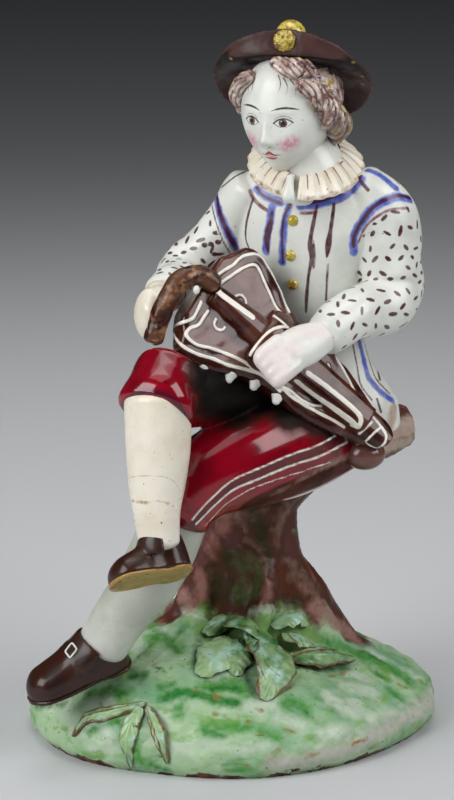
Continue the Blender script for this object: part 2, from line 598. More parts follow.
# Brushwork on the base: colour, softness and raggedness of the edge in mm, thinness, then strokes as
# half-widths and camera pixels
baseBrushwork = {
    "turfGrass": ("grassGreen", 1.2, 1.4, 0.4, [
        (2.0, 154, 636, 168, 641, 180, 650), (1.8, 316, 639, 340, 646, 362, 656),
        (2.4, 372, 660, 392, 669, 408, 681), (1.5, 90, 695, 110, 692, 128, 694),
        (1.8, 205, 730, 228, 728, 248, 726), (1.5, 262, 730, 276, 738), (1.8, 285, 705, 298, 702, 305, 710),
        (1.5, 135, 748, 138, 760, 150, 765), (1.4, 180, 705, 178, 716), (1.2, 390, 690, 400, 700),
        (1.6, 210, 640, 226, 648, 240, 660), (2.0, 205, 686, 226, 682, 244, 688)]),
    "turfDusk": ("duskGreen", 1.0, 1.2, 0.3, [
        (1.0, 240, 660, 246, 676, 254, 692), (1.1, 298, 666, 322, 669, 346, 668), (1.0, 199, 646, 194, 668),
        (1.0, 204, 622, 200, 640), (0.8, 124, 668, 134, 672), (0.9, 36, 706, 64, 704),
        (0.9, 214, 612, 226, 614), (1.2, 290, 612, 282, 618)]),
    "turfEmerald": ("emerald", 0.9, 1.2, 0.2, [
        (1.5, 164, 698, 180, 692, 196, 694, 210, 698, 222, 702, 236, 704),
        (1.1, 212, 690, 225, 687, 238, 690), (0.7, 160, 688, 172, 684), (0.7, 186, 624, 180, 632),
        (0.9, 112, 697, 122, 695), (0.8, 130, 676, 146, 675), (0.9, 155, 767, 168, 771),
        (0.8, 362, 652, 380, 660), (0.7, 376, 672, 388, 680), (0.9, 118, 723, 104, 726, 90, 731),
        (0.6, 206, 734, 222, 737)]),
    "turfPale": ("mistWhite", 1.3, 1.4, 0.3, [
        (1.8, 105, 735, 112, 748), (1.6, 172, 748, 190, 750), (1.2, 205, 744, 240, 749, 268, 746),
        (1.4, 186, 611, 198, 615), (1.6, 132, 640, 140, 648), (1.6, 92, 704, 108, 702),
        (2.4, 330, 700, 355, 712), (2.2, 346, 686, 372, 692), (1.4, 370, 716, 392, 712),
        (1.8, 322, 735, 345, 730), (1.3, 358, 675, 366, 680), (1.4, 250, 706, 262, 714),
        (1.2, 66, 716, 88, 720), (1.8, 300, 726, 280, 718)]),
    "rimWhite": ("rimPink", 2.0, 2.4, 0.45, [
        (2.2, 272, 763, 305, 761, 340, 752, 375, 735, 405, 718, 428, 704, 437, 690)]),
    "flecks": ("fleckOchre", 0.35, 0.9, 0.6, [
        (0.35, 213, 714, 218, 715), (0.4, 224, 716, 229, 719), (0.35, 236, 713, 239, 717),
        (0.35, 100, 703, 102, 707), (0.3, 124, 697, 126, 700), (0.45, 214, 696, 219, 699),
        (0.4, 256, 709, 263, 711), (0.5, 270, 698, 282, 691, 294, 686), (0.3, 372, 709, 375, 711),
        (0.35, 178, 664, 184, 666), (0.3, 283, 729, 296, 733), (0.3, 398, 685, 407, 689),
        (0.35, 312, 673, 330, 676, 346, 672), (0.35, 215, 617, 225, 610, 240, 603),
        (0.3, 194, 690, 200, 691), (0.3, 150, 667, 156, 664), (0.3, 246, 722, 252, 720),
        (0.35, 272, 752, 280, 750), (0.4, 305, 757, 318, 754), (0.4, 352, 745, 366, 738),
        (0.35, 240, 766, 252, 767)]),
    "barkPlumWash": ("barkPlumDeep", 1.0, 1.2, 0.3, [
        (2.4, 212, 530, 225, 535, 235, 545), (1.8, 203, 545, 199, 562), (1.0, 288, 530, 290, 548),
        (1.2, 250, 618, 258, 606)]),
    "barkRose": ("barkRose", 0.9, 1.3, 0.4, [
        (1.8, 212, 508, 226, 516, 222, 530), (1.2, 212, 536, 216, 548), (1.6, 200, 576, 204, 590, 198, 602),
        (1.6, 182, 592, 190, 604), (0.9, 269, 583, 263, 600, 253, 618), (1.7, 313, 606, 322, 620, 338, 631),
        (1.3, 346, 633, 358, 641), (1.0, 300, 584, 306, 590), (1.2, 208, 548, 214, 556),
        (1.0, 160, 612, 168, 606)]),
    "barkRed": ("barkRed", 1.0, 1.3, 0.2, [
        (2.2, 284, 572, 290, 590), (1.8, 308, 566, 322, 580, 334, 598), (1.2, 222, 562, 218, 552),
        (1.2, 276, 512, 262, 508)]),
    "barkDark": ("barkOlive", 1.0, 1.4, 0.1, [
        (2.4, 226, 560, 228, 576, 226, 594), (2.4, 239, 564, 240, 580, 237, 596), (1.8, 216, 578, 217, 598),
        (1.5, 238, 502, 258, 504, 275, 503), (2.0, 255, 515, 262, 527, 262, 537),
        (1.2, 264, 540, 268, 555, 268, 566), (1.5, 282, 602, 300, 603), (0.9, 246, 600, 256, 588)]),
    "barkGreen": ("barkGreen", 1.6, 1.8, 0.35, [
        (1.5, 250, 560, 256, 574, 253, 588, 243, 596), (0.8, 234, 554, 246, 559),
        (1.6, 238, 566, 243, 580, 238, 594), (1.0, 402, 444, 412, 438)]),
    "barkPale": ("barkPale", 1.2, 1.7, 0.5, [
        (0.6, 222, 519, 232, 515, 241, 521), (0.4, 245, 514, 255, 518, 267, 510),
        (0.4, 246, 541, 256, 548, 263, 558, 265, 572),
        (0.9, 277, 530, 284, 512, 293, 500, 306, 491, 318, 482), (0.6, 287, 560, 294, 566, 292, 578),
        (0.4, 238, 548, 246, 560), (0.6, 302, 574, 310, 586, 318, 600, 330, 616),
        (0.5, 184, 600, 194, 590, 202, 588), (0.4, 274, 584, 268, 600, 258, 612)]),
    "footMoss": ("softGrass", 1.4, 2.0, 0.35, [
        (4.2, 214, 632, 236, 634, 262, 636, 290, 638, 306, 640), (2.4, 262, 620, 284, 616, 300, 622),
        (2.0, 188, 618, 204, 612)]),
    "footMist": ("mistWhite", 1.0, 1.6, 0.5, [
        (1.3, 186, 613, 198, 615), (0.9, 248, 612, 262, 610, 276, 612), (1.0, 286, 618, 300, 616)]),
    "footRose": ("footRose", 1.0, 1.5, 0.4, [
        (1.9, 318, 606, 330, 618, 344, 630, 356, 640), (1.5, 182, 596, 190, 606)]),
    "footPlum": ("rosePlum", 0.8, 1.3, 0.2, [(1.8, 400, 404, 410, 406, 418, 416)]),
    "footKnob": ("knobPale", 1.0, 1.6, 0.2, [
        (2.6, 386, 430, 400, 430, 416, 424), (2.2, 372, 448, 392, 446, 408, 442)]),
}


def rimRadius(angle):
    # a closed smooth curve through the rim's radii
    rim = base["rim"]
    padded = rim[-2:] + rim + rim[:3]
    place = np.mod(angle / (2 * np.pi), 1) * len(rim) + 2
    return alongCurve(padded, place / (len(padded) - 1))[:, 0]


def moundForm():
    # rings of the rim's outline, drawn in and raised by the profile, whose middle slides to the peak
    angle = fullTurn(320)
    profile = alongCurve(base["profile"], upTo(1, 90))
    share, height = profile[:, :1], profile[:, 1:]
    lie = 0.95 - 0.07 * np.cos(angle - 0.2) + 0.03 * np.sin(3 * angle + 1) + 0.03 * np.sin(5 * angle)
    z = height * mixed(1, lie, eased(height, base["foot"] - 2, base["foot"] + 3))
    reach = rimRadius(angle) * share
    x = mixed(base["peak"][0], base["moundCentre"][0], share) + reach * np.cos(angle)
    y = mixed(base["peak"][1], base["moundCentre"][1], share) + reach * np.sin(angle)
    grid = np.stack([x, y, z], -1)
    flatCentre = np.zeros_like(grid[:1]) + [*base["moundCentre"], 0]
    return np.concatenate([flatCentre, grid, np.zeros_like(grid[:1]) + grid[-1].mean(0)])


def trunkRibs(t, angle):
    # broad ribs that run up the trunk and fade towards the seat
    return (0.8 - 0.5 * t) * np.cos(4 * angle + 0.8 + 2 * t) + 0.25 * np.cos(7 * angle + 6 * t)


def makeGround():
    # mound and stump made one skin, moved out by waves and welts and in by hollows
    def rootRibs(t, angle):
        # three ribs that wind along the root
        return 0.3 * np.cos(3 * angle + 5 * t)

    stumpForms = [sweptForm(base["trunk"], around=160, lengthwise=110, bulge=(0, 0.25), swell=trunkRibs)]
    stumpForms += [sweptForm(root, around=56, lengthwise=60, swell=rootRibs) for root in base["roots"]]
    stumpForms.append(sweptForm(base["seat"], side=(0, 1, 0), around=80, lengthwise=70, swell=rootRibs))
    mesh = fused("ground and stump", [moundForm()] + stumpForms, base["voxel"], 5)
    points, normals, tree = places(mesh), normalsOf(mesh), skinOf(mesh)

    cores = []  # the middle of each limb of the stump, and its thickness
    for stations in [base["trunk"][1:], base["seat"]] + base["roots"]:
        path, half = np.array(stations)[:, :3], np.array(stations)[:, 3:].mean(1)
        share = np.linspace(0, 1, 24)
        cores.append((alongCurve(path, share), alongCurve(half, share)[:, 0]))
    bark = strokeField(points, cores, far=6)
    onBark = eased(bark, 4, 1)
    turf = (1 - onBark) * eased(points[:, 2], 0.5, 3)
    rough = 0.22 * waves(points, 8, 11) + 0.08 * waves(points, 2.6, 12)
    ridged = 0.16 * waves(points * [1, 1, 0.4], 5, 13) + 0.06 * waves(points, 2.2, 14)
    move = turf * rough + onBark * ridged
    move += 0.5 * eased(strokeField(points, brushStrokes(tree, base["welts"])), 0.6, -0.7)
    for pixel, radius, depth in base["hollows"]:
        middle = rayThrough(tree, pixel)[0]  # each hollow is a bell curve of the distance from its middle
        move -= depth * np.exp(-(((points - middle) / radius) ** 2).sum(1))
    points += normals * move[:, None]
    points[:, 2] = np.where(points[:, 2] < 0.45, 0, points[:, 2])  # the underside stays flat
    setPlaces(mesh, points)
    setField(mesh, "bark", bark)
    setStrokes(mesh, points, tree, {name: group[-1] for name, group in baseBrushwork.items()})
    addPiece("ground_and_stump", mesh, groundGlaze())
    return skinOf(mesh)


def groundGlaze():
    # copper green brushed on white tin glaze, which runs; manganese purple and brown on the bark
    material, tree, where = newMaterial("copper green and manganese glaze")
    strokes = {"bark": [], "foot": [], "turf": []}
    for name, (colour, soft, ragged, thin, _) in baseBrushwork.items():
        kind = name[:4] if name[:4] in strokes else "turf"
        strokes[kind].append((name, colour, soft, ragged, thin))
    turf = patched(tree, where, paint["paleGreen"], base["turfPatches"])
    turf = painted(tree, where, turf, strokes["turf"])
    bark = patched(tree, where, paint["barkPlum"], base["barkPatches"])
    bark = painted(tree, where, bark, strokes["bark"])
    barkAmount = graded(tree, where, "bark", *base["barkEdge"], (6, 4, 6))
    colour = painted(tree, where, layered(tree, turf, (bark, barkAmount)), strokes["foot"])
    colour = specked(tree, where, colour, "umber", 1.0, 0.755)
    height = addNode(tree, "SeparateXYZ", [where]).outputs["Z"]
    glazeEnd, clayFull = base["bareFoot"]
    bare = graded(tree, where, height, glazeEnd * metre, clayFull * metre, (5, 6, 9 * metre))
    clay = layered(tree, paint["clay"], (paint["umber"], cloud(tree, where, 2, 4)))
    colour = layered(tree, colour, (clay, bare))
    wet = addNode(tree, "MapRange", [barkAmount, 0, 1, 0.16, 0.02])
    glazed(tree, where, colour, roughness=0.42, coat=wet, ripple=0.4, rippleLength=3, pits=0.2, sheen=0.2)
    return material


# Leaves: blades moulded on the ground, their raised edges rubbed down to brown

leaves = {
    # the midrib from stalk to tip as camera pixels and heights over the ground, then half-width, cup, tilt,
    # paleness and edge wear
    "blades": [
        ([(262, 636, 1.2), (244, 622, 2.6), (224, 620, 2.6), (204, 634, 1)], 4.6, -0.25, 0, 0.3, 0.5),
        ([(226, 638, 2), (217, 650, 2.2), (208, 662, 1.6), (198, 675, 0.4)], 4.8, -0.16, 0, 0.9, 0.4),
        ([(246, 628, 2), (256, 638, 3), (264, 648, 3), (272, 662, 1.8)], 4.8, -0.2, 0, 0, 0.2),
        ([(236, 640, 1.8), (236, 652, 2), (236, 664, 1.4), (238, 676, 0.3)], 3.8, -0.2, 0, 0.4, 0.2),
        ([(270, 626, 1.6), (282, 617, 2.4), (296, 617, 2.2), (306, 626, 0.8)], 3, -0.25, 0, 0.75, 0.3),
        ([(278, 636, 2.6), (292, 637, 3.4), (304, 641, 3), (316, 649, 1.4)], 3.2, -0.22, 0, 0.85, 0.7),
        ([(264, 642, 2.8), (271, 656, 3.2), (270, 676, 2.2), (262, 700, 0.2)], 5.8, 0.14, -0.35, 0.5, 1),
        ([(288, 656, 1.4), (308, 655, 3.6), (330, 655, 3.8), (352, 659, 1.6)], 2.8, -0.35, 0.5, 0.35, 1),
        ([(146, 703, 0.6), (112, 711, 0.8), (88, 717, 0.7), (74, 735, 0.3)], 1.9, -0.15, 0, 0.7, 1),
        ([(142, 707, 0.7), (132, 722, 0.9), (128, 742, 0.8), (132, 766, 0.2)], 2.3, -0.15, 0, 0.8, 0.8),
        ([(148, 706, 0.8), (157, 723, 1.1), (163, 742, 0.9), (168, 762, 0.2)], 1.7, 0.3, 0, 0.9, 1),
    ],
    "thick": 0.45,  # mm, half a blade
    "rise": 3.2,  # camera pixels that a blade climbs for each mm over the ground
    "patches": [("leafMist", 4.5, 5, (1, 1, 1.5), 0.46, 0.7),
                ("leafBrown", 1.4, 4, (0.5, 1.2, 1), 0.62, 0.72)],
    "veins": [  # half-width and camera pixels
        (0.2, 288, 634, 294, 640, 304, 645), (0.2, 284, 641, 296, 649, 308, 652),
        (0.18, 298, 632, 308, 639, 314, 646), (0.42, 247, 645, 251, 657, 256, 672, 259, 696),
        (0.2, 262, 652, 268, 666, 280, 676), (0.2, 258, 664, 266, 680),
        (0.36, 294, 656, 306, 652, 320, 650, 340, 650, 354, 655), (0.22, 210, 626, 216, 634, 228, 638),
        (0.2, 222, 622, 232, 630), (0.25, 138, 704, 103, 711, 86, 716, 77, 725, 74, 734),
        (0.25, 146, 707, 152, 725, 163, 756),
    ],
}


def bladeForm(ground, mound, spine, halfWidth, cup, tilt):
    # a midrib over the ground carries a thin lens, as wide as a sine of the length, whose cup lifts the edges
    placed = []
    for x, y, over in spine:
        below = (x, y + leaves["rise"] * over)
        place, facing = rayThrough(ground, below)[0], rayThrough(mound, below)[1]
        placed.append((*(place + over * facing), *facing))
    t, angle = upTo(1, 60), fullTurn(40)[None]
    row = alongCurve(placed, t)
    middle = row[:, :3]
    ahead = unit(alongCurve(placed, t + 0.02)[:, :3] - alongCurve(placed, t - 0.02)[:, :3])
    facing = row[:, 3:].mean(0) + row[:, 3:]
    across = unit(np.cross(ahead, facing))
    out = unit(np.cross(across, ahead) + tilt * across)
    across = np.cross(ahead, out)
    t = t[:, None]
    frill = 1 + 0.07 * np.cos(13 * t) + 0.04 * np.sin(31 * t)
    width = halfWidth * np.sin(np.pi * (0.1 + 0.84 * t ** 0.85)) * frill
    w = np.cos(angle)
    midrib = 0.35 * np.exp(-(w / 0.12) ** 2)
    veining = 0.14 * np.sin(30 * t - 8 * np.abs(w)) * (1 - np.exp(-(w / 0.2) ** 2))
    raised = np.where(np.sin(angle) > 0, midrib + veining, 0)
    lift = cup * width * w ** 2 + leaves["thick"] * np.sin(angle) + raised
    lift = lift + 0.25 * np.abs(w) ** 3 * np.sin(17 * t + 3 * np.sign(w))
    grid = middle[:, None] + across[:, None] * (w * width)[..., None] + out[:, None] * lift[..., None]
    return grid, (1 - np.abs(w)) * width + 0 * t


def makeLeaves(ground):
    # all the blades in one mesh, each with the wear of its edge and its paleness
    verts, faces = gridFaces(moundForm())
    mound = BVHTree.FromPolygons(verts.tolist(), faces)
    surfaces, rims, tints = [], [], []
    for spine, halfWidth, cup, tilt, pale, worn in leaves["blades"]:
        grid, rim = bladeForm(ground, mound, spine, halfWidth, cup, tilt)
        surfaces.append(gridFaces(closedEnds(grid)))
        edge = (rim - 0.5 + 1.1 * (1 - worn)).reshape(-1)
        rims.append(np.concatenate([edge, [0, 0]]))
        tints.append(np.full(len(edge) + 2, pale))
    mesh = makeMesh("leaves", *joined(surfaces))
    setField(mesh, "edge", np.concatenate(rims))
    setField(mesh, "tint", np.concatenate(tints))
    setStrokes(mesh, places(mesh), skinOf(mesh), {"veins": leaves["veins"]})
    setField(mesh, "under", -normalsOf(mesh)[:, 2])
    addPiece("leaves", mesh, leafGlaze())


def leafGlaze():
    # copper green thin over white on the blades, pooled dark in the veins and under the curl
    material, tree, where = newMaterial("brushed copper green glaze")
    colour = patched(tree, where, paint["leafDeep"], [("leafOlive", 4, 4, even, 0.42, 0.6)])
    pale = graded(tree, where, "tint", 0.8, 1.6, (3.5, 5, 1.6), "SMOOTHSTEP")
    colour = patched(tree, where, layered(tree, colour, (paint["leafPale"], pale)), leaves["patches"])
    colour = painted(tree, where, colour, [
        ("veins", "clay", 0.14, 0.3, 0.5), ("edge", "leafBrown", 0.15, 0.5, 0.4)])
    colour = layered(tree, colour, (paint["leafShade"], graded(tree, where, "under", 0.1, 0.5)))
    glazed(tree, where, colour, roughness=0.34, coat=0.15, ripple=0.4, rippleLength=2)
    return material


makeLeaves(makeGround())


# Breeches: crimson enamel that burns to brown-black where it is thick

breeches = {
    "forms": [  # stations (place, half-width, half-depth), side, bulge at each end
        ([(18, 3, 86, 9, 8), (6, -9, 86, 8.5, 7), (-1, -16, 86.5, 6.5, 5)], (0.77, -0.6, 0), (0.5, 0.5)),
        ([(22, 5, 76, 12, 10), (21, 4, 84, 12, 10), (21, 4, 92, 10, 9)], (0.77, -0.64, 0), (0.5, 0.5)),
        ([(18, 10, 88, 11, 10), (8, -1, 91, 11.5, 10.5), (-3, -14, 93.6, 11, 9.2), (-12, -25, 95.2, 9.8, 9),
          (-15.4, -29.4, 96, 8.6, 7.8)], (0.77, -0.6, 0), (0.3, 0.6)),
        ([(-14.6, -27, 99, 9.2, 9), (-16.8, -31.6, 96.2, 9.3, 8.9), (-18.2, -35, 92.9, 9, 8.5)],
         (1, 0, 0), (0.4, 0.1)),
        ([(28, 1, 80, 11.5, 11), (19, -7, 79, 12.8, 11.5), (9, -16, 77.8, 12.8, 11.2),
          (0, -22, 76, 11.6, 10.6), (-7, -25.5, 73.5, 10, 9.6), (-11, -26.5, 70, 9, 9)], (0, 0, 1),
         (0.3, 0.5)),
        ([(-9, -26, 74, 9.4, 9), (-12.2, -26.4, 68.9, 9.2, 8.8), (-14.2, -26.4, 64.7, 8.9, 8.5)],
         (0.83, 0, -0.5), (0.3, 0.1)),
    ],
    "voxel": 0.54,  # mm
    "whiteLines": [  # half-width and camera pixels
        (0.27, 345, 430, 318, 445, 290, 455, 262, 467, 233, 480, 215, 495, 202, 508, 192, 520),
        (0.32, 349, 441, 320, 456, 290, 466, 256, 480, 233, 490, 215, 505, 203, 517, 196, 524),
        (0.2, 330, 462, 300, 472, 275, 480, 253, 488, 240, 495, 226, 504, 214, 516, 205, 526),
    ],
    "plumBand": [(1.3, 345, 436, 318, 450, 290, 461, 262, 473, 233, 485, 215, 500, 196, 522)],
    "support": [  # the wood under the thigh, in one piece with it
        ([1.6, 2.6, 3.2, 3.3, 3.3, 3.2, 2.8, 2.4, 2],
         212, 530, 230, 517, 250, 505, 275, 496, 300, 487, 325, 477, 350, 465, 372, 455, 388, 447),
    ],
    "supportPale": [
        (0.9, 326, 466, 348, 456, 374, 448), (0.6, 296, 482, 312, 474, 322, 468), (0.5, 272, 495, 290, 486),
        (1.1, 352, 462, 372, 455),
    ],
    "hem": [(0.35, 182, 519, 190, 526, 202, 533),
            (0.6, 118, 411, 126, 402, 136, 394, 150, 391, 166, 395, 178, 404, 185, 417)],
    "burnt": [  # half-width and camera pixels of the dark folds under the instrument
        (5, 206, 378, 228, 390, 258, 400, 290, 410), (3.6, 208, 402, 228, 410, 240, 411),
        (2.4, 296, 414, 318, 424, 336, 432),
    ],
}


def crimsonEnamel():
    # glossy crimson enamel pooled over tin glaze: deep red, darker where thick, mirror-like
    material, tree, where = newMaterial("crimson enamel over tin glaze")
    colour = patched(tree, where, paint["crimson"], [
        ("crimsonDeep", 12, 3, even, 0.4, 0.7), ("crimsonDark", 5, 5, even, 0.58, 0.78)])
    stir = (5, 5, 5)
    brownAmount = graded(tree, where, "burnt", 6.0, 2.6, stir)
    blackAmount = graded(tree, where, "burnt", 2.8, 0.4, stir)
    colour = layered(tree, colour, (paint["redBrown"], brownAmount), (paint["black"], blackAmount))
    colour = painted(tree, where, colour, [
        ("plumBand", "plumBrown", 0.5, 0.5, 0.4), ("hem", "plum", 0.2, 0.22, 0.25)])
    wood = patched(tree, where, paint["supportBrown"], [("barkPlum", 7, 4, even, 0.4, 0.6)])
    colour = brushed(tree, where, colour, "support", wood, 0.5, 0.5, 0.1)
    colour = painted(tree, where, colour, [
        ("supportPale", "barkPale", 0.5, 0.8, 0.6), ("whiteLines", "white", 0.1, 0.14, 0.35)])
    onWood = graded(tree, where, "support", 0.8, -0.4)
    matt = addNode(tree, "Math", [brownAmount, onWood], operation="MAXIMUM")
    dull = addNode(tree, "MapRange", [matt, 0, 1, 0.14, 0.5])
    glassy = addNode(tree, "MapRange", [matt, 0, 1, 0.95, 0])
    glazed(tree, where, colour, roughness=dull, coat=glassy, ripple=0.12, rippleLength=4, sheen=0.12)
    return material


def makeBreeches():
    # swept thighs, knees and seat made one skin, whose white lines stand up a little
    def folds(t, angle):
        # shallow rolls round the leg
        return 0.3 * np.sin(9 * t + 2 * np.sin(angle)) + 0.2 * np.cos(3 * angle + 4 * t)

    forms = [sweptForm(stations, side, 96, 80, bulge, folds) for stations, side, bulge in breeches["forms"]]
    mesh = fused("breeches", forms, breeches["voxel"], 5)
    points, tree = places(mesh), skinOf(mesh)
    white = strokeField(points, brushStrokes(tree, breeches["whiteLines"]))
    pushOut(mesh, points, 0.12 * eased(white, 0.15, -0.15))  # the lines stand up a little
    setField(mesh, "whiteLines", white)
    setStrokes(mesh, points, tree, {
        name: breeches[name] for name in ("plumBand", "hem", "support", "supportPale")})
    setField(mesh, "burnt", strokeField(points, brushStrokes(tree, breeches["burnt"]), far=8))
    addPiece("breeches", mesh, crimsonEnamel())


makeBreeches()


# Stockings: the right one is a cream repair with a hairline and a yellowed joint, the left one glaze

stockings = {
    "right": [(-17.8, -33.4, 95.4, 8, 7.8), (-17.7, -35.6, 85.4, 7.8, 7.6), (-17.9, -38, 76.4, 6.9, 6.8),
              (-17.8, -40.2, 69.8, 5.7, 5.7), (-17.3, -42, 63, 4.9, 5)],
    "left": [(-13, -26.4, 66, 7.8, 7.6), (-16.9, -26, 55.6, 8, 7.7), (-21.5, -26, 46.6, 7.7, 7.4),
             (-27.3, -25.5, 38.1, 6.8, 6.6), (-31.6, -25, 31, 6.4, 6.2)],
    "hairline": [(0.1, 127, 478, 140, 476, 158, 476, 172, 480, 181, 492)],
    "yellowed": [(0.22, 131, 501, 146, 503, 158, 501, 168, 503)],
}


def makeStockings():
    # two sweeps that taper to the ankle
    def calf(t, angle):
        # slow waves along and round the leg
        return 0.12 * np.sin(6 * t + angle) + 0.08 * np.cos(3 * angle + 2)

    form = sweptForm(stockings["right"], around=100, lengthwise=110, swell=calf)
    right = makeMesh("right stocking", *gridFaces(form))
    setStrokes(right, places(right), skinOf(right), {
        name: stockings[name] for name in ("hairline", "yellowed")})
    cream = creamPaint(strokes=[("hairline", "clay", 0.08, 0.05, 0.6), ("yellowed", "ochre", 0.25, 0.9, 0.9)])
    addPiece("right_stocking", right, cream)

    def greyed(tree, where, colour):
        return patched(tree, where, colour, [("greyTin", 14, 3, even, 0.1, 0.6)])

    left = sweptForm(stockings["left"], (0.83, 0, 0.5), 84, 80, swell=calf)
    grey = whiteTinGlaze("grey-white tin glaze", extra=greyed)
    addForm("left_stocking", gridFaces(left), grey)


makeStockings()


# Shoes: dark manganese-brown uppers on an ochre sole, the left one with a square white buckle

shoes = {
    "right": {"heel": (-10.1, -40.5, 54.4), "toe": (-28.4, -49.8, 54.4), "up": (-0.25, 0.57, 0.78),
              "halfWidths": [4.4, 5.3, 5.8, 5.2, 5.3, 5.9, 6, 5.6, 5],  # heel to toe
              "heights": [9, 9.8, 9.8, 9.6, 8.6, 7, 6, 5, 4],  # over the sole, mm
              "sole": 1.0,
              "ankle": (-17.3, -42, 63), "leg": (-0.07, 0.26, 0.965), "radius": 5.0,
              # turns round the ankle from the left, degrees, and the flap's height there
              "flap": [(-16, -1.4), (4, 0.4), (28, 1.4), (56, 2), (84, 2), (104, 1)], "flapFoot": -2.8},
    "left": {"heel": (-26, -20.2, 25.6), "toe": (-49.6, -29.4, 17.2), "up": (0.15, -0.05, 1),
             "halfWidths": [5.6, 6.5, 6.9, 6.3, 6, 6.2, 6, 5.4, 4.6],
             "heights": [8.6, 9.2, 9.2, 9, 8.8, 7.4, 6.5, 5.8, 4.8],
             "sole": 1.4,
             "ankle": (-31.6, -25, 31), "leg": (0.52, -0.06, 0.855), "radius": 6.8,
             "flap": [(-40, -0.4), (-15, 0), (15, 0.2), (45, 0.3), (70, 0.2), (88, 0)], "flapFoot": -7},
    "buckleHalf": 1.42,  # mm
    "buckleBar": 0.26,
    "bucklePlace": (71.5, 650.5),  # camera pixel
    "buckleTurn": 47,  # degrees from upright, as the camera sees it
}


def flapForm(shoe):
    # a thin upright strap that goes part of the way round the ankle
    leg = unit(np.array(shoe["leg"]))
    near = unit(np.array([0, -1.0, 0]) + leg * leg[1])
    left = np.cross(near, leg)
    rows = alongCurve(shoe["flap"], upTo(1, 60))
    turn, top = np.radians(rows[:, :1]), rows[:, 1:]
    out = np.cos(turn) * left + np.sin(turn) * near
    section = fullTurn(48)
    upright, thick = np.cos(section)[None], np.sign(np.sin(section)) * np.abs(np.sin(section)) ** 0.5
    height = mixed(shoe["flapFoot"], top, (upright + 1) / 2)
    reach = shoe["radius"] - 0.12 * height + 0.55 * thick
    return closedEnds(np.array(shoe["ankle"]) + height[..., None] * leg + reach[..., None] * out[:, None])


def makeShoe(name, shoe):
    # the upper is rings that follow the widths and heights; the sole is its widths carried down
    heel, toe = np.array(shoe["heel"], float), np.array(shoe["toe"], float)
    length = np.linalg.norm(toe - heel)
    ahead = unit(toe - heel)
    rise = unit(np.array(shoe["up"]) - ahead * (ahead @ np.array(shoe["up"])))
    across = np.cross(rise, ahead)

    def at(x, y, z):
        # ahead, across and up from the heel
        x, y, z = np.broadcast_arrays(x, y, z)
        return heel + x[..., None] * ahead + y[..., None] * across + z[..., None] * rise

    t = (1 - np.cos(upTo(np.pi, 90)))[:, None] / 2
    angle = fullTurn(72)[None]
    cosine, sine = np.cos(angle), np.sin(angle)
    # each end is rounded off as an ellipse is
    ends = np.sqrt(1 - 0.97 * np.clip((t - 0.84) / 0.16, 0, 1) ** 2)
    ends = ends * np.sqrt(1 - 0.8 * np.clip(1 - t / 0.1, 0, 1) ** 2)
    width = alongCurve(shoe["halfWidths"], t[:, 0]) * ends
    height = alongCurve(shoe["heights"], t[:, 0]) * ends ** 0.7
    vampShare = eased(t, 0.3, 0.6)  # the quarters stand upright, the vamp is round
    side = np.sign(cosine) * np.abs(cosine) ** mixed(0.35, 0.85, vampShare)
    lift = np.where(sine > 0, height * np.abs(sine) ** mixed(0.45, 0.75, vampShare), 0.4 * sine)
    upper = closedEnds(at(length * t, width * side, shoe["sole"] + lift))
    squareW = np.sign(cosine) * np.abs(cosine) ** 0.6
    squareZ = np.sign(sine) * np.abs(sine) ** 0.6
    soleWidth = (width + 0.2) * (1 - 0.12 * np.exp(-((t - 0.34) / 0.1) ** 2))
    half = shoe["sole"] / 2 + 0.1
    sole = closedEnds(at(length * mixed(-0.008, 1.01, t), soleWidth * squareW, half * (1 + squareZ) - 0.1))
    vamp = fused(name + " upper", [upper, flapForm(shoe)], 0.4, 6)
    addPiece(name + "_upper", vamp, manganeseShoe())
    edge = fused(name + " sole", [sole], 0.42, 2)
    addPiece(name + "_sole", edge, manganeseShoe() if name == "left_shoe" else ochreSole())
    return vamp


def makeBuckle(vamp):
    # a square ring: a rounded square path that carries a thin round bar, flat on the instep
    centre, out = rayThrough(skinOf(vamp), shoes["bucklePlace"])
    right, up, _, _ = cameraAxes()
    turned = math.radians(shoes["buckleTurn"])
    seen = right * math.sin(turned) + up * math.cos(turned)
    tilt = unit(seen - out * (out @ seen))
    across = np.cross(out, tilt)
    turn = fullTurn(96)[:, None]
    flat = np.stack([np.cos(turn), np.sin(turn)], -1)
    flat = np.sign(flat) * np.abs(flat) ** 0.3 * shoes["buckleHalf"]
    ring = np.linspace(0, 2 * np.pi, 12, endpoint=False)[None]
    inPlane = flat + unit(flat) * (shoes["buckleBar"] * np.cos(ring))[..., None]
    grid = (centre + inPlane[..., :1] * tilt + inPlane[..., 1:] * across
            + (0.15 + shoes["buckleBar"] * np.sin(ring))[..., None] * out)
    addForm("left_shoe_buckle", ringFaces(grid), whiteTinGlaze("white buckle glaze"))


def manganeseShoe():
    # manganese glaze run thick: near black-brown with a purple cast and a wet shine
    return glaze("manganese brown glaze", "shoe", [("shoePlum", 5, 3, even, 0.45, 0.7)], ("clay", 1.1, 0.76),
                 roughness=0.32, coat=0.22, ripple=0.15, rippleLength=4, sheen=0.3)


def ochreSole():
    # thin ochre over the clay of the sole, brown where it is worn
    return glaze("ochre glaze", "sole", [("ochre", 5, 4, even, 0.4, 0.7)], ("umber", 1.2, 0.7),
                 roughness=0.3, coat=0.3, ripple=0.3)


makeShoe("right_shoe", shoes["right"])
makeBuckle(makeShoe("left_shoe", shoes["left"]))


# Jacket: white glaze with hand-painted stripes, bands and sprigged sleeves

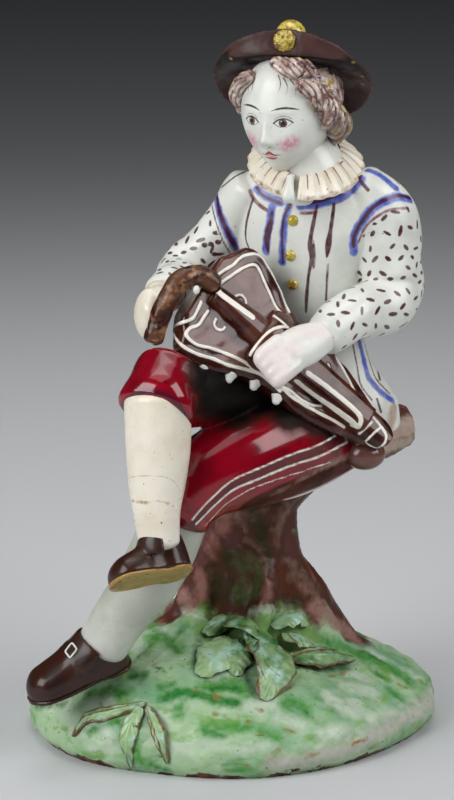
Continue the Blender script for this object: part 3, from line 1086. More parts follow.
jacket = {
    "body": [(28.6, 6, 76, 14.4, 12.6), (27, 6, 82, 15.2, 13.4), (24.4, 6.3, 88, 13.5, 12.2),
             (22.2, 6.5, 95, 12.4, 11.2), (20.4, 6.5, 103, 12.4, 10.8), (18.8, 6.2, 112, 13.8, 10.8),
             (17.6, 5.5, 122, 16, 11),
             (17.8, 5, 131, 17.6, 10.6), (18, 4.8, 138.6, 17.4, 9.6), (18, 4.2, 145.6, 12, 8)],
    "bodySide": (0.969, -0.249, 0),
    "leftSleeve": [(31.4, 2.8, 140.4, 6.6, 6.6), (37.6, 2, 132.4, 8, 8), (38.6, 2.2, 123, 8.5, 8.3),
                   (39.2, 1.6, 116, 8.2, 8.2), (37, -3, 111.8, 7.6, 7.4), (29, -11, 110.4, 6.3, 6.3),
                   (22.6, -17, 107.8, 5.3, 5.3)],
    "leftSide": (0.8, -0.6, 0),
    "rightSleeve": [(5.2, 7.6, 138.4, 7, 7), (-0.4, 9, 129.4, 6.6, 6.2), (-9.2, 10.2, 121, 5.9, 5.8),
                    (-12.6, 6, 117.4, 5.9, 5.7), (-14, -2, 116.4, 5.6, 5.6), (-16.4, -9, 116, 4.9, 4.9)],
    "rightSide": (0.7, 0, -0.7),
    "voxel": 0.45,  # mm
    "buttons": [(293, 220.7), (290.5, 255.5), (292.8, 284.4)],  # camera pixels
    "buttonHalf": 1.45,
    "dash": {"apart": 3.2, "half": 0.52, "long": 0.72, "clear": 2.1, "seed": 5},  # mm, "long" from the middle
    "blue": [
        (1.05, 257, 189, 264, 195, 272, 199, 281, 202),
        (1.0, 300, 206, 314, 205, 330, 201, 348, 193, 362, 179),
        (1.0, 272, 207, 270, 222, 267, 236, 266, 251), (0.9, 290, 203, 285, 220, 283, 237, 282, 262),
        (1.1, 354, 252, 354, 237, 362, 221, 376, 206, 396, 197, 410, 199),
        (1.1, 216, 198, 220, 214, 228, 233, 239, 253), (0.9, 368, 170, 380, 175, 396, 188),
        (0.8, 359, 340, 364, 360, 369, 378, 380, 391, 393, 401),
    ],
    "plum": [
        (0.42, 257, 188, 264, 196, 280, 203), (0.5, 300, 204, 318, 201, 336, 195, 352, 186, 361, 176),
        ([0.4, 0.6, 0.9, 0.7, 0.4], 272, 212, 270, 225, 267, 238, 268, 251),
        ([0.5, 0.3, 0.35, 0.25], 290, 204, 284, 218, 282, 237, 283, 263),
        ([0.25, 0.35, 0.3, 0.25], 253, 199, 249, 212, 246, 226, 246, 240, 250, 250),
        ([0.35, 0.5, 0.55, 0.75, 0.5, 0.35, 0.45, 0.3],
         317, 206, 313, 225, 310, 243, 312, 256, 309, 273, 307, 292, 306, 312),
        (0.22, 313, 240, 315, 254, 314, 268),
        ([0.4, 0.45, 0.5, 0.8, 0.3], 334, 204, 332, 220, 329, 240, 327, 257),
        ([0.2, 0.3, 0.28, 0.3], 328, 264, 327, 280, 326, 300),
        (0.5, 354, 246, 354, 237, 362, 221, 376, 205, 396, 196, 410, 198),
        (0.62, 217, 196, 219, 210, 226, 229, 237, 250), (0.22, 212, 205, 216, 222, 224, 243, 233, 257),
        (0.45, 344, 164, 356, 176, 368, 190), (0.3, 369, 166, 385, 171, 399, 184),
        (0.3, 250, 170, 236, 176, 222, 187), (0.25, 353, 345, 357, 366, 361, 385, 372, 400),
        (0.25, 365, 345, 371, 366, 377, 380, 390, 394), (0.35, 378, 372, 380, 380),
        (0.35, 377, 399, 381, 412),
    ],
    "rose": [
        (0.5, 250, 191, 254, 199, 262, 207, 272, 213), (0.45, 301, 213, 308, 213, 316, 212),
        (0.5, 334, 203, 345, 198, 354, 190), (0.35, 358, 243, 367, 225, 387, 211, 408, 208),
        (0.5, 384, 374, 387, 380),
    ],
    "tail": [(1.7, 394, 409, 392, 418, 388, 429)],  # the seat's glaze laps over the corner
    "flower": [(0.62, 204.5, 245), (0.6, 211, 244), (0.62, 218, 242), (0.6, 214.5, 254)],
    "backStripes": [20, 44, 66, 90, 114, 136, 160],  # degrees round the body, 90 at the back
    "leftArmholeBack": [(39.6, 5, 139.6), (39, 9.6, 137), (35.6, 13.6, 131), (32.4, 14, 124), (31, 11, 118)],
    "rightArmholeBack": [(-1, 9, 141.6), (0, 14, 138), (3, 16.4, 131), (5, 15.8, 124), (4, 12, 118)],
    "bandClear": 2.3,  # mm beside the blue bands that stay free of dashes
    "paints": [  # field, colour, softness and raggedness of the edge in mm, thinness
        ("roseLines", "rosePlum", 0.16, 0.12, 0.4), ("blueBands", "blueWash", 0.25, 0.16, 0.3),
        ("blueBands", "blue", 0.35, 0.5, 0.4), ("plumLines", "plum", 0.12, 0.1, 0.15),
        ("dashes", "plum", 0.1, 0.06, 0.1), ("tail", "knobPale", 0.8, 1.0, 0.2),
    ],
}


def sprigDashes(stations, side, seed, first):
    # short dashes on a brick grid of the sleeve's length and girth, turned this way and that
    rng = np.random.default_rng(seed)
    dash = jacket["dash"]
    line = np.array(stations)[:, :3]
    length = np.linalg.norm(np.diff(line, axis=0), axis=1).sum()
    rows = int(length / dash["apart"])
    strokes = []
    for i in range(rows + 1):
        t = (i + 0.5) / (rows + 1)
        if t < first:
            continue
        radius = float(alongCurve(np.array(stations)[:, 3], np.array([t]))[0, 0])
        count = int(2 * np.pi * radius / dash["apart"])
        for j in range(count):
            if rng.random() < 0.1:
                continue
            turned = (-1) ** (i + j) * 0.8 + rng.normal(0, 0.35)
            angle = (j + 0.5 * (i % 2) + rng.normal(0, 0.08)) * 2 * np.pi / count
            ends = np.array([-1, 0, 1]) * dash["long"] * rng.uniform(0.75, 1.15)
            ts = t + rng.normal(0, 0.006) + ends * math.cos(turned) / length
            angles = angle + ends * math.sin(turned) / radius
            half = dash["half"] * rng.uniform(0.8, 1.15)
            strokes.append((onSweep(stations, side, ts, angles, 0.1), np.array([0.7, 1, 0.7]) * half))
    return strokes


def onSkin(tree, strokes, reach=99.0):
    # strokes moved to the nearest skin; one that starts further off than "reach" mm is dropped
    moved = [(nearestOn(tree, path), path, half) for path, half in strokes]
    return [(near, half) for near, path, half in moved if np.abs(near - path).max() < reach]


def spacedOut(strokes, clear):
    # strokes in their order, less those whose middle is nearer than "clear" mm to one already kept
    kept = []
    for path, half in strokes:
        if all(np.linalg.norm(path[1] - other[1]) > clear for other, _ in kept):
            kept.append((path, half))
    return kept


def makeJacket():
    # body and sleeves made one skin, with a field for each colour of its lines
    def wrinkles(t, angle):
        # soft rolls round the sleeve
        return 0.35 * np.sin(15 * t + 1.5 * np.sin(angle)) + 0.12 * np.sin(31 * t + 2 * angle)

    def drape(t, angle):
        # slow waves on the back, and hanging folds that deepen towards the hem
        return 0.18 * np.sin(7 * t + 3 * np.cos(angle)) + 0.3 * (1 - t) ** 2 * np.cos(5 * angle + 1)

    forms = [
        sweptForm(jacket["body"], jacket["bodySide"], 200, 160, (0.1, 0.4), drape),
        sweptForm(jacket["leftSleeve"], jacket["leftSide"], 120, 160, swell=wrinkles),
        sweptForm(jacket["rightSleeve"], jacket["rightSide"], 110, 150, swell=wrinkles),
    ]
    mesh = fused("jacket", forms, jacket["voxel"], 5)
    points, tree = places(mesh), skinOf(mesh)

    # the two armholes and the stripes go on round the back
    down = np.linspace(0.06, 0.9, 40)
    wander = 0.04 * np.sin(9 * down)
    stripes = [onSweep(jacket["body"], jacket["bodySide"], down, math.radians(angle) + wander)
               for angle in jacket["backStripes"]]
    armholes = [alongCurve(jacket[side + "ArmholeBack"], np.linspace(0, 1, 24)) for side in ("left", "right")]
    front = brushStrokes(tree, jacket["blue"])
    blue = front + onSkin(
        tree, [(path, 1.0) for path in armholes] + [(stripe, 0.85) for stripe in stripes[1::2]])
    plum = brushStrokes(tree, jacket["plum"]) + onSkin(
        tree, [(path, 0.45) for path in armholes] + [(stripe, 0.36) for stripe in stripes])
    plum += brushStrokes(tree, [(half, x - 0.6, y, x + 0.6, y + 0.4) for half, x, y in jacket["flower"]])
    seed, clear = jacket["dash"]["seed"], jacket["bandClear"]
    dashes = onSkin(tree, sprigDashes(jacket["leftSleeve"], jacket["leftSide"], seed, 0.1)
                    + sprigDashes(jacket["rightSleeve"], jacket["rightSide"], seed + 1, 0.14), 0.75)
    dashField = strokeField(points, spacedOut(dashes, jacket["dash"]["clear"]), far=1.2)
    body = np.array(jacket["body"])
    fromBody = strokeField(points, [(body[:, :3], body[:, 3:].mean(1) + 1.2)], far=6)
    fromBands = strokeField(points, [(path, clear) for path, _ in front] + onSkin(
        tree, [(path, clear) for path in armholes]))
    setField(mesh, "dashes", np.where((fromBody < 0) | (fromBands < 0), 1.2, dashField))
    setField(mesh, "blueBands", strokeField(points, blue))
    setField(mesh, "plumLines", strokeField(points, plum))
    setStrokes(mesh, points, tree, {"roseLines": jacket["rose"], "tail": jacket["tail"]})
    addPiece("jacket", mesh, whiteTinGlaze("painted white tin glaze", jacket["paints"]))

    half, buttons = jacket["buttonHalf"], []
    for x, y in jacket["buttons"]:
        centre = castStroke(tree, [(x, y), (x, y + 0.2)])[0] + [0, 0.2, 0]
        buttons.append(gridFaces(roundLump(centre, (half, half * 0.8, half), 28, 36)))
    addForm("jacket_buttons", joined(buttons), yellowGlaze("yellow button glaze", 0))


def yellowGlaze(name, rough):
    # antimony yellow: opaque and sunny, pooled ochre in the hollows where the surface is rough
    patches = [("yellow", 3, 3, even, 0.35, 0.65), ("ochre", 1.6, 4, even, 0.52 - 0.1 * rough, 0.66)]
    patches += [("clay", 1.3, 5, even, 0.5, 0.68)] * rough
    return glaze(name, "yellowPale", patches, roughness=0.2, coat=0.6, ripple=0.2 + 0.4 * rough)


makeJacket()


# Collar: a sloping ring of pleats, cream paint with a plum line in every fold

collar = {
    "centre": (18, 3.6, 147.6),
    "turn": 14,  # degrees to the figure's right
    "slope": 0.36,  # fall for each millimetre forward
    "lean": 0.1,  # fall for each millimetre to the figure's left
    "gap": 5,  # degrees left open on each side of the front
    "pleats": 26,
    "wave": 0.26,  # mm
    "dip": 2.6,  # mm by which the neckline falls in front
    # reach and height, and how far the pleats move that point
    "section": [(7.6, 2.0, 0), (9, 1.8, 0.35), (10.8, 0.9, 0.7), (12.6, -0.5, 0.95), (13.9, -1.8, 1),
                (14.3, -2.6, 1), (13.8, -3.2, 1), (12, -2.5, 0.8), (9.6, -2.6, 0.4), (7.2, -4, 0)],
    "tie": [(14, -7.4, 144.4, 0.8, 0.7), (13.8, -9.6, 142.4, 1.1, 0.8), (13.6, -10.6, 140.2, 1.5, 0.8),
            (13.8, -10.2, 138.8, 1.3, 0.6)],
}


def collarDirections():
    # forward and right of the collar, turned about the upright
    turn = math.radians(collar["turn"])
    forward = np.array([-math.sin(turn), -math.cos(turn), 0])
    return forward, np.array([-forward[1], forward[0], 0])


def collarPoints(angle, row):
    # the section at each angle: reach and height, moved by the sine of the pleats, on the sloping ring
    forward, right = collarDirections()
    section = alongCurve(collar["section"], row)
    phase = collar["pleats"] * (angle - math.radians(collar["gap"]))
    pleat = (np.sin(phase) + 0.25 * np.sin(2 * phase))[:, None]
    free = section[:, 2][None]
    uneven = 0.35 * np.sin(3.1 * angle + 1) + 0.3 * np.sin(7.3 * angle)
    reach = section[:, 0][None] + free * (collar["wave"] * pleat + 0.5 * uneven[:, None])
    ahead = np.cos(angle)[:, None] * reach
    aside = np.sin(angle)[:, None] * reach
    z = section[:, 1][None] + collar["wave"] * free * pleat - collar["slope"] * ahead - collar["lean"] * aside
    z = z - collar["dip"] * np.clip(np.cos(angle), 0, 1)[:, None] ** 2 * (1 - free)
    points = np.array(collar["centre"]) + ahead[..., None] * forward + aside[..., None] * right
    points[..., 2] += z
    return points


def makeCollar():
    # a pleated ring, open in front, with a line of paint down each valley
    gap = math.radians(collar["gap"])
    end = 2 * np.pi - gap
    grid = collarPoints(np.linspace(gap, end, int(560 * fine)), upTo(1, 46))
    mesh = makeMesh("collar", *gridFaces(closedEnds(grid)))
    folds = []
    for k in range(collar["pleats"]):
        valley = gap + (2 * np.pi * k + 1.5 * np.pi) / collar["pleats"]
        if valley < end:
            path = collarPoints(np.array([valley]), np.linspace(0.09, 0.36 + 0.05 * math.sin(5 * k), 12))[0]
            folds.append((path, np.linspace(0.24, 0.1, 12)))
    neckline = collarPoints(np.linspace(gap, end, 200), np.array([0.06]))[:, 0]
    rim = collarPoints(np.linspace(gap, end, 400), np.array([0.5]))[:, 0]
    for name, strokes in (("folds", folds), ("innerLine", [(neckline, 0.26)]), ("rim", [(rim, 0.35)])):
        setField(mesh, name, strokeField(places(mesh), strokes))
    cream = creamPaint("cream collar paint", [
        ("rim", "rimBrown", 0.4, 1.1, 0.9), ("folds", "rosePlum", 0.1, 0.1, 0.3),
        ("innerLine", "plum", 0.1, 0.1, 0.2)])
    addPiece("collar", mesh, cream)
    tie = sweptForm(collar["tie"], around=40, lengthwise=30)
    addForm("collar_tie", gridFaces(tie), whiteTinGlaze("collar tie glaze"))


makeCollar()


# Head: an egg with a calm, ordinary face on the usual thirds and halves.
# Face heights are shares of the head from the chin, 0, to the crown, 1; widths are shares of half its width.

head = {
    "centre": (13.8, 0.8, 159.4),
    "turn": 28,  # degrees to the figure's right
    "nod": 7,  # degrees forward
    "half": (11.3, 12.6, 15.4),  # width, depth, height, mm
    "neck": [(19.4, 4, 138, 10.6, 9.4), (19, 3.6, 143.5, 9.8, 8.8), (17.4, 3, 148, 8, 7.6),
             (15.6, 2.4, 152, 6.6, 6.8)],
    "relief": [  # how far out, then its place and its spread, across and up
        (0.07, 0, 0.43, 0.1, 0.09), (0.17, 0, 0.36, 0.1, 0.055), (0.06, 0.12, 0.345, 0.07, 0.035),
        (0.06, -0.12, 0.345, 0.07, 0.035), (0.035, 0, 0.245, 0.2, 0.022), (0.04, 0, 0.205, 0.16, 0.022),
        (-0.02, 0, 0.225, 0.24, 0.009), (0.07, 0, 0.08, 0.26, 0.08), (0.035, 0.44, 0.33, 0.26, 0.13),
        (0.035, -0.44, 0.33, 0.26, 0.13), (-0.055, 0.37, 0.5, 0.19, 0.07), (-0.055, -0.37, 0.5, 0.19, 0.07),
        (0.032, 0.37, 0.5, 0.13, 0.035), (0.032, -0.37, 0.5, 0.13, 0.035), (0.018, 0.36, 0.585, 0.24, 0.03),
        (0.018, -0.36, 0.585, 0.24, 0.03),
    ],
    "eyeAcross": 0.37,
    "eyeUp": 0.5,
    "eyeHalf": 0.19,
    "browUp": 0.6,
    "mouthUp": 0.225,
    "mouthHalf": 0.21,
    "wisps": [(0.3, 0.84, 0.1), (0.42, 0.83, 0.14), (0.55, 0.8, 0.12), (-0.42, 0.8, -0.1),
              (-0.55, 0.77, -0.08), (0.18, 0.86, 0.06)],  # fine hairs at the brow: across, up and lean
    "inks": [("lips", "lip"), ("shade", "rosePlum"), ("iris", "iris"), ("pupil", "black"),
             ("dark", "browInk"), ("wisps", "plum"), ("light", "white")],
}


def headDirections():
    # left, forward and up of the head, turned and then nodded
    turn, nod = math.radians(head["turn"]), math.radians(head["nod"])
    forward = np.array([-math.sin(turn) * math.cos(nod), -math.cos(turn) * math.cos(nod), -math.sin(nod)])
    left = np.array([math.cos(turn), -math.sin(turn), 0])
    return left, forward, np.cross(forward, left)


def inHead(points):
    # from left, forward and up of the head's centre to the figure's own axes
    left, forward, up = headDirections()
    points = np.asarray(points, float)
    level = np.array(head["centre"]) + points[..., :1] * left + points[..., 1:2] * forward
    return level + points[..., 2:] * up


def faceForm():
    # a ball whose jaw narrows below the middle; gaussian bumps lift nose, lips, chin, cheeks and eyes
    polar = upTo(np.pi, 200)[:, None]
    u = np.linspace(0, 1, int(210 * fine), endpoint=False)[None]
    turn = 2 * np.pi * (u - 0.095 * np.sin(2 * np.pi * u))
    x, y, z = np.sin(polar) * np.sin(turn), np.sin(polar) * np.cos(turn), np.cos(polar) + 0 * turn
    share = (z + 1) / 2
    jaw = np.where(share < 0.5, 1 - 0.42 * np.clip(1 - share / 0.5, 0, 1) ** 1.6, 1)
    x = x * jaw
    y = y * np.where(y < 0, jaw, 1)
    front = np.clip(y * 2, 0, 1)
    lift = sum(out * np.exp(-((x - atX) / wideX) ** 2 - ((share - atZ) / wideZ) ** 2)
               for out, atX, atZ, wideX, wideZ in head["relief"])
    halfX, halfY, halfZ = head["half"]
    return inHead(np.stack([x * halfX, (y + lift * front) * halfY, z * halfZ], -1))


def onFace(tree, across, up):
    # places of the face, in shares of the head, thrown back onto the skin along the head's own forward
    forward = headDirections()[1]
    halfX, halfY, halfZ = head["half"]
    across, up = np.broadcast_arrays(np.asarray(across, float), np.asarray(up, float))
    hits = []
    for x, z in zip(across * halfX, (2 * up - 1) * halfZ):
        start = inHead(np.array([x, 3 * halfY, z]))
        hits.append(tree.ray_cast(Vector(start), Vector(-forward))[0])
    return np.array([hit for hit in hits if hit is not None]).reshape(-1, 3)


def makeHead():
    # the face's lines are curves over an arc from -1 to 1, laid on its skin
    mesh = makeMesh("head", *gridFaces(faceForm()))
    points, tree = places(mesh), skinOf(mesh)
    arc = np.linspace(-1, 1, 25)
    bulge = 1 - arc ** 2
    lines = {name: [] for name in ("dark", "iris", "pupil", "lips", "rouge", "shade", "light", "wisps")}

    def draw(name, across, up, half):
        lines[name].append((onFace(tree, across, up), half))

    half, level = head["eyeHalf"], head["eyeUp"]
    for side in (-1, 1):
        eye = side * head["eyeAcross"]
        draw("dark", eye + half * arc, level + 0.004 + 0.034 * bulge, 0.2)
        draw("dark", eye + 0.86 * half * arc, level - 0.004 - 0.026 * bulge, 0.1)
        brow = onFace(tree, eye + 0.03 * side + 0.27 * arc, head["browUp"] + 0.022 * (1 - (side * arc) ** 2))
        lines["dark"].append((brow, alongCurve([0.1, 0.24, 0.26, 0.12], np.linspace(0, 1, len(brow)))[:, 0]))
        draw("shade", eye + 0.95 * half * arc, level + 0.03 + 0.03 * bulge, 0.1)
        draw("iris", [eye - 0.005, eye + 0.005], level + 0.004, 0.98)
        draw("pupil", [eye - 0.003, eye + 0.003], level + 0.004, 0.5)
        draw("light", [eye - 0.035, eye - 0.03], level + 0.018, 0.16)
        draw("rouge", side * 0.46 + 0.05 * arc, 0.33 + 0.01 * arc, 1.2)
        draw("dark", side * 0.075 + 0.02 * arc, 0.312, 0.2)
    mouth, width = head["mouthUp"], head["mouthHalf"]
    bow = 0.016 * np.cos(1.5 * np.pi * arc) * (1 - np.abs(arc)) + 0.006 * bulge
    draw("lips", width * arc, mouth + 0.008 + bow, 0.34 * (1.15 - arc ** 2))
    draw("lips", 0.72 * width * arc, mouth - 0.026 + 0.01 * arc ** 2, 0.42 * (1.15 - arc ** 2))
    draw("shade", 1.05 * width * arc, mouth - 0.004 + 0.008 * arc ** 2, 0.1)
    temple = np.linspace(0, 1, 30)
    for across, up, lean in head["wisps"]:
        path = onFace(tree, across + lean * temple + 0.06 * np.sin(3 * temple), up - 0.12 * temple)
        lines["wisps"].append((path, np.linspace(0.16, 0.06, len(path))))
    for name, strokes in lines.items():
        far = {"rouge": 5, "wisps": 3}.get(name, 2)
        setField(mesh, name, strokeField(points, strokes, far=far))
    addPiece("head", mesh, whiteTinGlaze("face tin glaze", extra=facePaint))
    neck = sweptForm(head["neck"], around=80, lengthwise=40)
    addForm("neck", gridFaces(neck), whiteTinGlaze("neck tin glaze"))


def facePaint(tree, where, colour):
    # rouge that fades out from the middle of the cheek, in light hatching; then the drawn lines
    soft = graded(tree, where, "rouge", 1.9, -0.8, kind="SMOOTHSTEP")
    hatch = addNode(tree, "MapRange", [cloud(tree, where, 0.9, 2, (1, 1, 0.5), 0.35, 0.6), 0, 1, 0.35, 0.85])
    amount = addNode(tree, "Math", [soft, hatch], operation="MULTIPLY")
    colour = layered(tree, colour, (paint["rouge"], amount))
    for name, code in head["inks"]:
        colour = brushed(tree, where, colour, name, paint[code], 0.06, 0.04, 0.2)
    return colour


makeHead()


# Hair: rolled locks over a ridged cap, pinkish glaze with plum strands and ochre touches

hair = {
    "locks": [  # places in the head from root to tip, then the lock's half-width
        ((4.6, 5.4, 13.4), (7.6, 5.4, 11.8), (10, 4.8, 9.6), 2.4),
        ((0.6, 6.4, 13.6), (4.4, 7, 12.4), (7.4, 6.6, 10.6), 2.2),
        ((7.5, 7.2, 9.4), (10.4, 5.4, 6.4), (11.2, 4.8, 2.2), 2.5),
        ((9.4, 4.8, 6.4), (12.4, 3.4, 2.4), (11.8, 3, -1.4), 2.6),
        ((10, 2, 4), (13, 0.4, -0.4), (11.6, -1, -4.6), 2.7),
        ((9, -3, 1), (12, -4.2, -3.6), (9.8, -5.4, -7.4), 2.6),
        ((-5.6, 9, 10.4), (-8.6, 7.6, 8), (-9.8, 6.4, 5), 1.9),
        ((-8.6, 5, 8.6), (-11.2, 4.4, 4.6), (-10.8, 4, 1.4), 2.3),
        ((-9.6, 0, 5), (-12.4, -0.6, 1), (-11, -1.6, -3), 2.5),
        ((-7, -6, 0), (-9, -8, -4), (-7.6, -8, -8), 2.6),
        ((0, -12, 0), (-2, -14, -4), (-1, -12.4, -9), 2.8),
        ((5, -9.6, 0), (5.6, -12.2, -4), (5, -10.4, -8.6), 2.8),
    ],
    "strands": 9,  # grooves round each lock
    "groove": 0.42,  # mm
    "voxel": 0.35,
    "cap": (1.06, 0.98, 0.76),  # shares of the head's half width, depth and height
    "capBack": -2.6,  # mm
    "capUp": 3,
    "patches": [("hairPale", 3, 4, even, 0.4, 0.6), ("hairPlum", 4, 5, even, 0.52, 0.68),
                ("ochrePale", 5, 3, even, 0.55, 0.62)],
    "darkCurls": (162, 150),  # mm over the ground, where the curls begin to darken and are darkest
}


def onCap(polar, turn, wave=1):
    # the ellipsoid under the locks
    (halfX, halfY, halfZ), (wide, deep, high) = head["half"], hair["cap"]
    return inHead(np.stack([wide * halfX * wave * np.sin(polar) * np.sin(turn),
                            hair["capBack"] + deep * halfY * wave * np.sin(polar) * np.cos(turn),
                            hair["capUp"] + high * halfZ * np.cos(polar) + 0 * turn], -1))


def makeHair():
    # a ridged cap and swept locks made one skin, grooved by strands that wind round them
    forward = headDirections()[1]
    polar, turn = upTo(np.pi, 110)[:, None], fullTurn(200)[None]
    wave = 1 + 0.035 * np.sin(8 * turn + 1.6 * polar) * np.sin(polar)
    forms, strands = [onCap(polar, turn, wave)], []
    t = np.linspace(-0.02, 1.02, 28)
    for index, (root, middle, tip, half) in enumerate(hair["locks"]):
        sway = 0.3 * math.sin(2.3 * index)
        stations = [(*inHead(root), half, half * 0.8), (*inHead(middle), half * 1.1, half),
                    (*inHead(tip), half * 0.7, half * 0.7)]
        forms.append(sweptForm(stations, forward, 72, 60, (0.6, 0.9)))
        for k in range(hair["strands"]):
            angle = 2 * np.pi * k / hair["strands"] + 1.1 * t + sway
            thickness = 0.2 + 0.1 * np.sin(np.pi * t) * math.sin(3 * k + index)
            strands.append((onSweep(stations, forward, t, angle, 0.1), thickness))
    drop = np.linspace(0.35, 0.98, 30) * np.pi
    for capTurn in np.radians(np.arange(95, 266, 7)):
        wobble = capTurn + 0.05 * np.sin(6 * drop + 3 * capTurn)
        strands.append((onCap(drop, wobble), 0.2 + 0.06 * np.sin(9 * drop)))
    mesh = fused("hair", forms, hair["voxel"], 3)
    points = places(mesh)
    field = strokeField(points, onSkin(skinOf(mesh), strands))
    pushOut(mesh, points, hair["groove"] * (eased(field, -0.2, 0.5) - 0.6) + 0.06 * waves(points, 1.6, 21))
    setField(mesh, "strands", field)
    addPiece("hair", mesh, hairGlaze())


def hairGlaze():
    # thin pink-brown glaze in streaks, plum ink in the grooves, and the lowest curls darkest
    material, tree, where = newMaterial("manganese-lined hair glaze")
    colour = patched(tree, where, paint["hair"], hair["patches"])
    height = addNode(tree, "SeparateXYZ", [where]).outputs["Z"]
    start, full = hair["darkCurls"]
    low = addNode(tree, "MapRange", [height, start * metre, full * metre, 0, 0.6])
    colour = layered(tree, colour, (paint["hairPlum"], low))
    colour = painted(tree, where, colour, [("strands", "hairInk", 0.18, 0.3, 0.3)])
    glazed(tree, where, colour, roughness=0.2, coat=0.5, ripple=0.25)
    return material


makeHair()


# Hat: a low crown, a brim turned up in front that droops at the sides and back, two yellow knops

hat = {
    "axis": (14.4, 4.5),
    "turn": 10,  # degrees to the figure's right
    "wall": 1.1,  # mm
    # from the front round to the back: the band's reach and height, then the fold's and the edge's
    "bandReach": [9.8, 10.2, 10.8, 11.4, 11.6, 11.8, 11.8],
    "bandHeight": [172.6, 172, 170.4, 168, 165, 163, 162.2],
    "foldReach": [12.6, 14.2, 16, 16.8, 16.2, 15, 14.4],
    "foldHeight": [174.2, 173.8, 171.4, 166.8, 161.6, 158.4, 157.6],
    "edgeReach": [10.4, 13.2, 17.2, 19.4, 18.4, 16.8, 16],
    "edgeHeight": [180, 179.2, 174.4, 165.6, 158, 155, 154.4],
    "crown": [((0, -0.5, 164), 11.4, 11.6), ((0, 0, 169), 11.2, 11.2), ((0, 0, 173.5), 9.6, 9.2),
              ((0, 0, 176.2), 7, 6.6)],
    "knop": ((0, 0.6, 177.4), (3.7, 3.7, 3.6)),
    "button": ((0.2, 11.7, 177.3), (2.7, 2.1, 2.6)),
    "chips": [(353.5, 62), (362, 76), (363, 84), (231, 58.5), (344, 78)],  # camera pixels of glaze losses
    "pool": (164, 171.5),  # mm over the ground, between which the glaze under the brim turns black
}


def inHat(points):
    # from left, forward and up of the hat's axis to the figure's own axes
    turn = math.radians(hat["turn"])
    forward = np.array([-math.sin(turn), -math.cos(turn), 0])
    left = np.array([math.cos(turn), -math.sin(turn), 0])
    points = np.asarray(points, float)
    place = points[..., :1] * left + points[..., 1:2] * forward
    return place + [*hat["axis"], 0] + points[..., 2:] * np.array([0, 0, 1.0])


def brimForm():
    # at each angle a closed strap: band, fold, edge and back over the top, smoothed along its own length
    angle = fullTurn(420)
    away = np.abs(np.mod(angle / np.pi + 1, 2) - 1)
    band, bandZ, mid, midZ, edge, edgeZ = [alongCurve(hat[key], away)[:, 0] for key in (
        "bandReach", "bandHeight", "foldReach", "foldHeight", "edgeReach", "edgeHeight")]
    edge, edgeZ = edge + 0.15 * np.sin(5 * angle), edgeZ + 0.15 * np.sin(7 * angle + 1)
    slope = np.arctan2(edgeZ - midZ, edge - mid)
    overX, overZ = -np.sin(slope) * hat["wall"], np.cos(slope) * hat["wall"]
    half, halfZ = mixed(mid, edge, 0.6), mixed(midZ, edgeZ, 0.55)
    corners = [(band - 3, bandZ), (band, bandZ), (mixed(band, mid, 0.6), mixed(bandZ, midZ, 0.45)),
               (mid, midZ), (half, halfZ), (mixed(half, edge, 0.6), mixed(halfZ, edgeZ, 0.6)),
               (edge, edgeZ), (edge + overX * 0.6, edgeZ + overZ + 0.2),
               (half + overX * 1.3, halfZ + overZ * 1.3),
               (mid + overX * 1.4, midZ + np.abs(overZ) * 1.4 + 0.5), (band, bandZ + 2.6),
               (band - 3, bandZ + 2.6)]
    loop = np.array(corners).transpose(0, 2, 1)
    count = len(loop) + 1
    wrapped = np.concatenate([loop[-2:], loop, loop[:3]])
    share = np.linspace(0, 1, int(84 * fine), endpoint=False)
    place = (share * (count - 1) + 2) / (len(wrapped) - 1)
    flat = alongCurve(wrapped, place).reshape(len(share), len(angle), 2)
    reach, height = flat[..., 0], flat[..., 1]
    return inHat(np.stack([reach * np.sin(angle), reach * np.cos(angle), height], -1))


def makeHat():
    # brim and crown made one skin, softly uneven, and a knop and a button as balls
    crown = sweptForm([(*inHat(place), a, b) for place, a, b in hat["crown"]], around=160, lengthwise=80,
                      bulge=(0.2, 0.25))
    mesh = fusedSurfaces("hat", [ringFaces(brimForm()), gridFaces(crown)], 0.45, 3)
    points = places(mesh)
    pushOut(mesh, points, 0.08 * waves(points, 9, 31) + 0.03 * waves(points, 2.2, 32))
    chips = [(0.28, x - 0.8, y, x + 0.8, y + 0.6) for x, y in hat["chips"]]
    setStrokes(mesh, points, skinOf(mesh), {"chips": chips})
    addPiece("hat", mesh, hatGlaze())

    def tufts(ball):
        # tight crumpled lumps, as a rosette of clay
        return 0.05 * waves(ball, 0.6, 41, 14) + 0.025 * waves(ball, 0.28, 42, 12)

    place, half = hat["knop"]
    knop = roundLump(inHat(place), half, 44, 64)
    addForm("hat_knop", gridFaces(knop), yellowGlaze("smooth yellow glaze", 0))
    place, half = hat["button"]
    button = roundLump(inHat(place), half, 76, 100, tufts)
    addForm("hat_button", gridFaces(button), yellowGlaze("rough yellow glaze", 1))


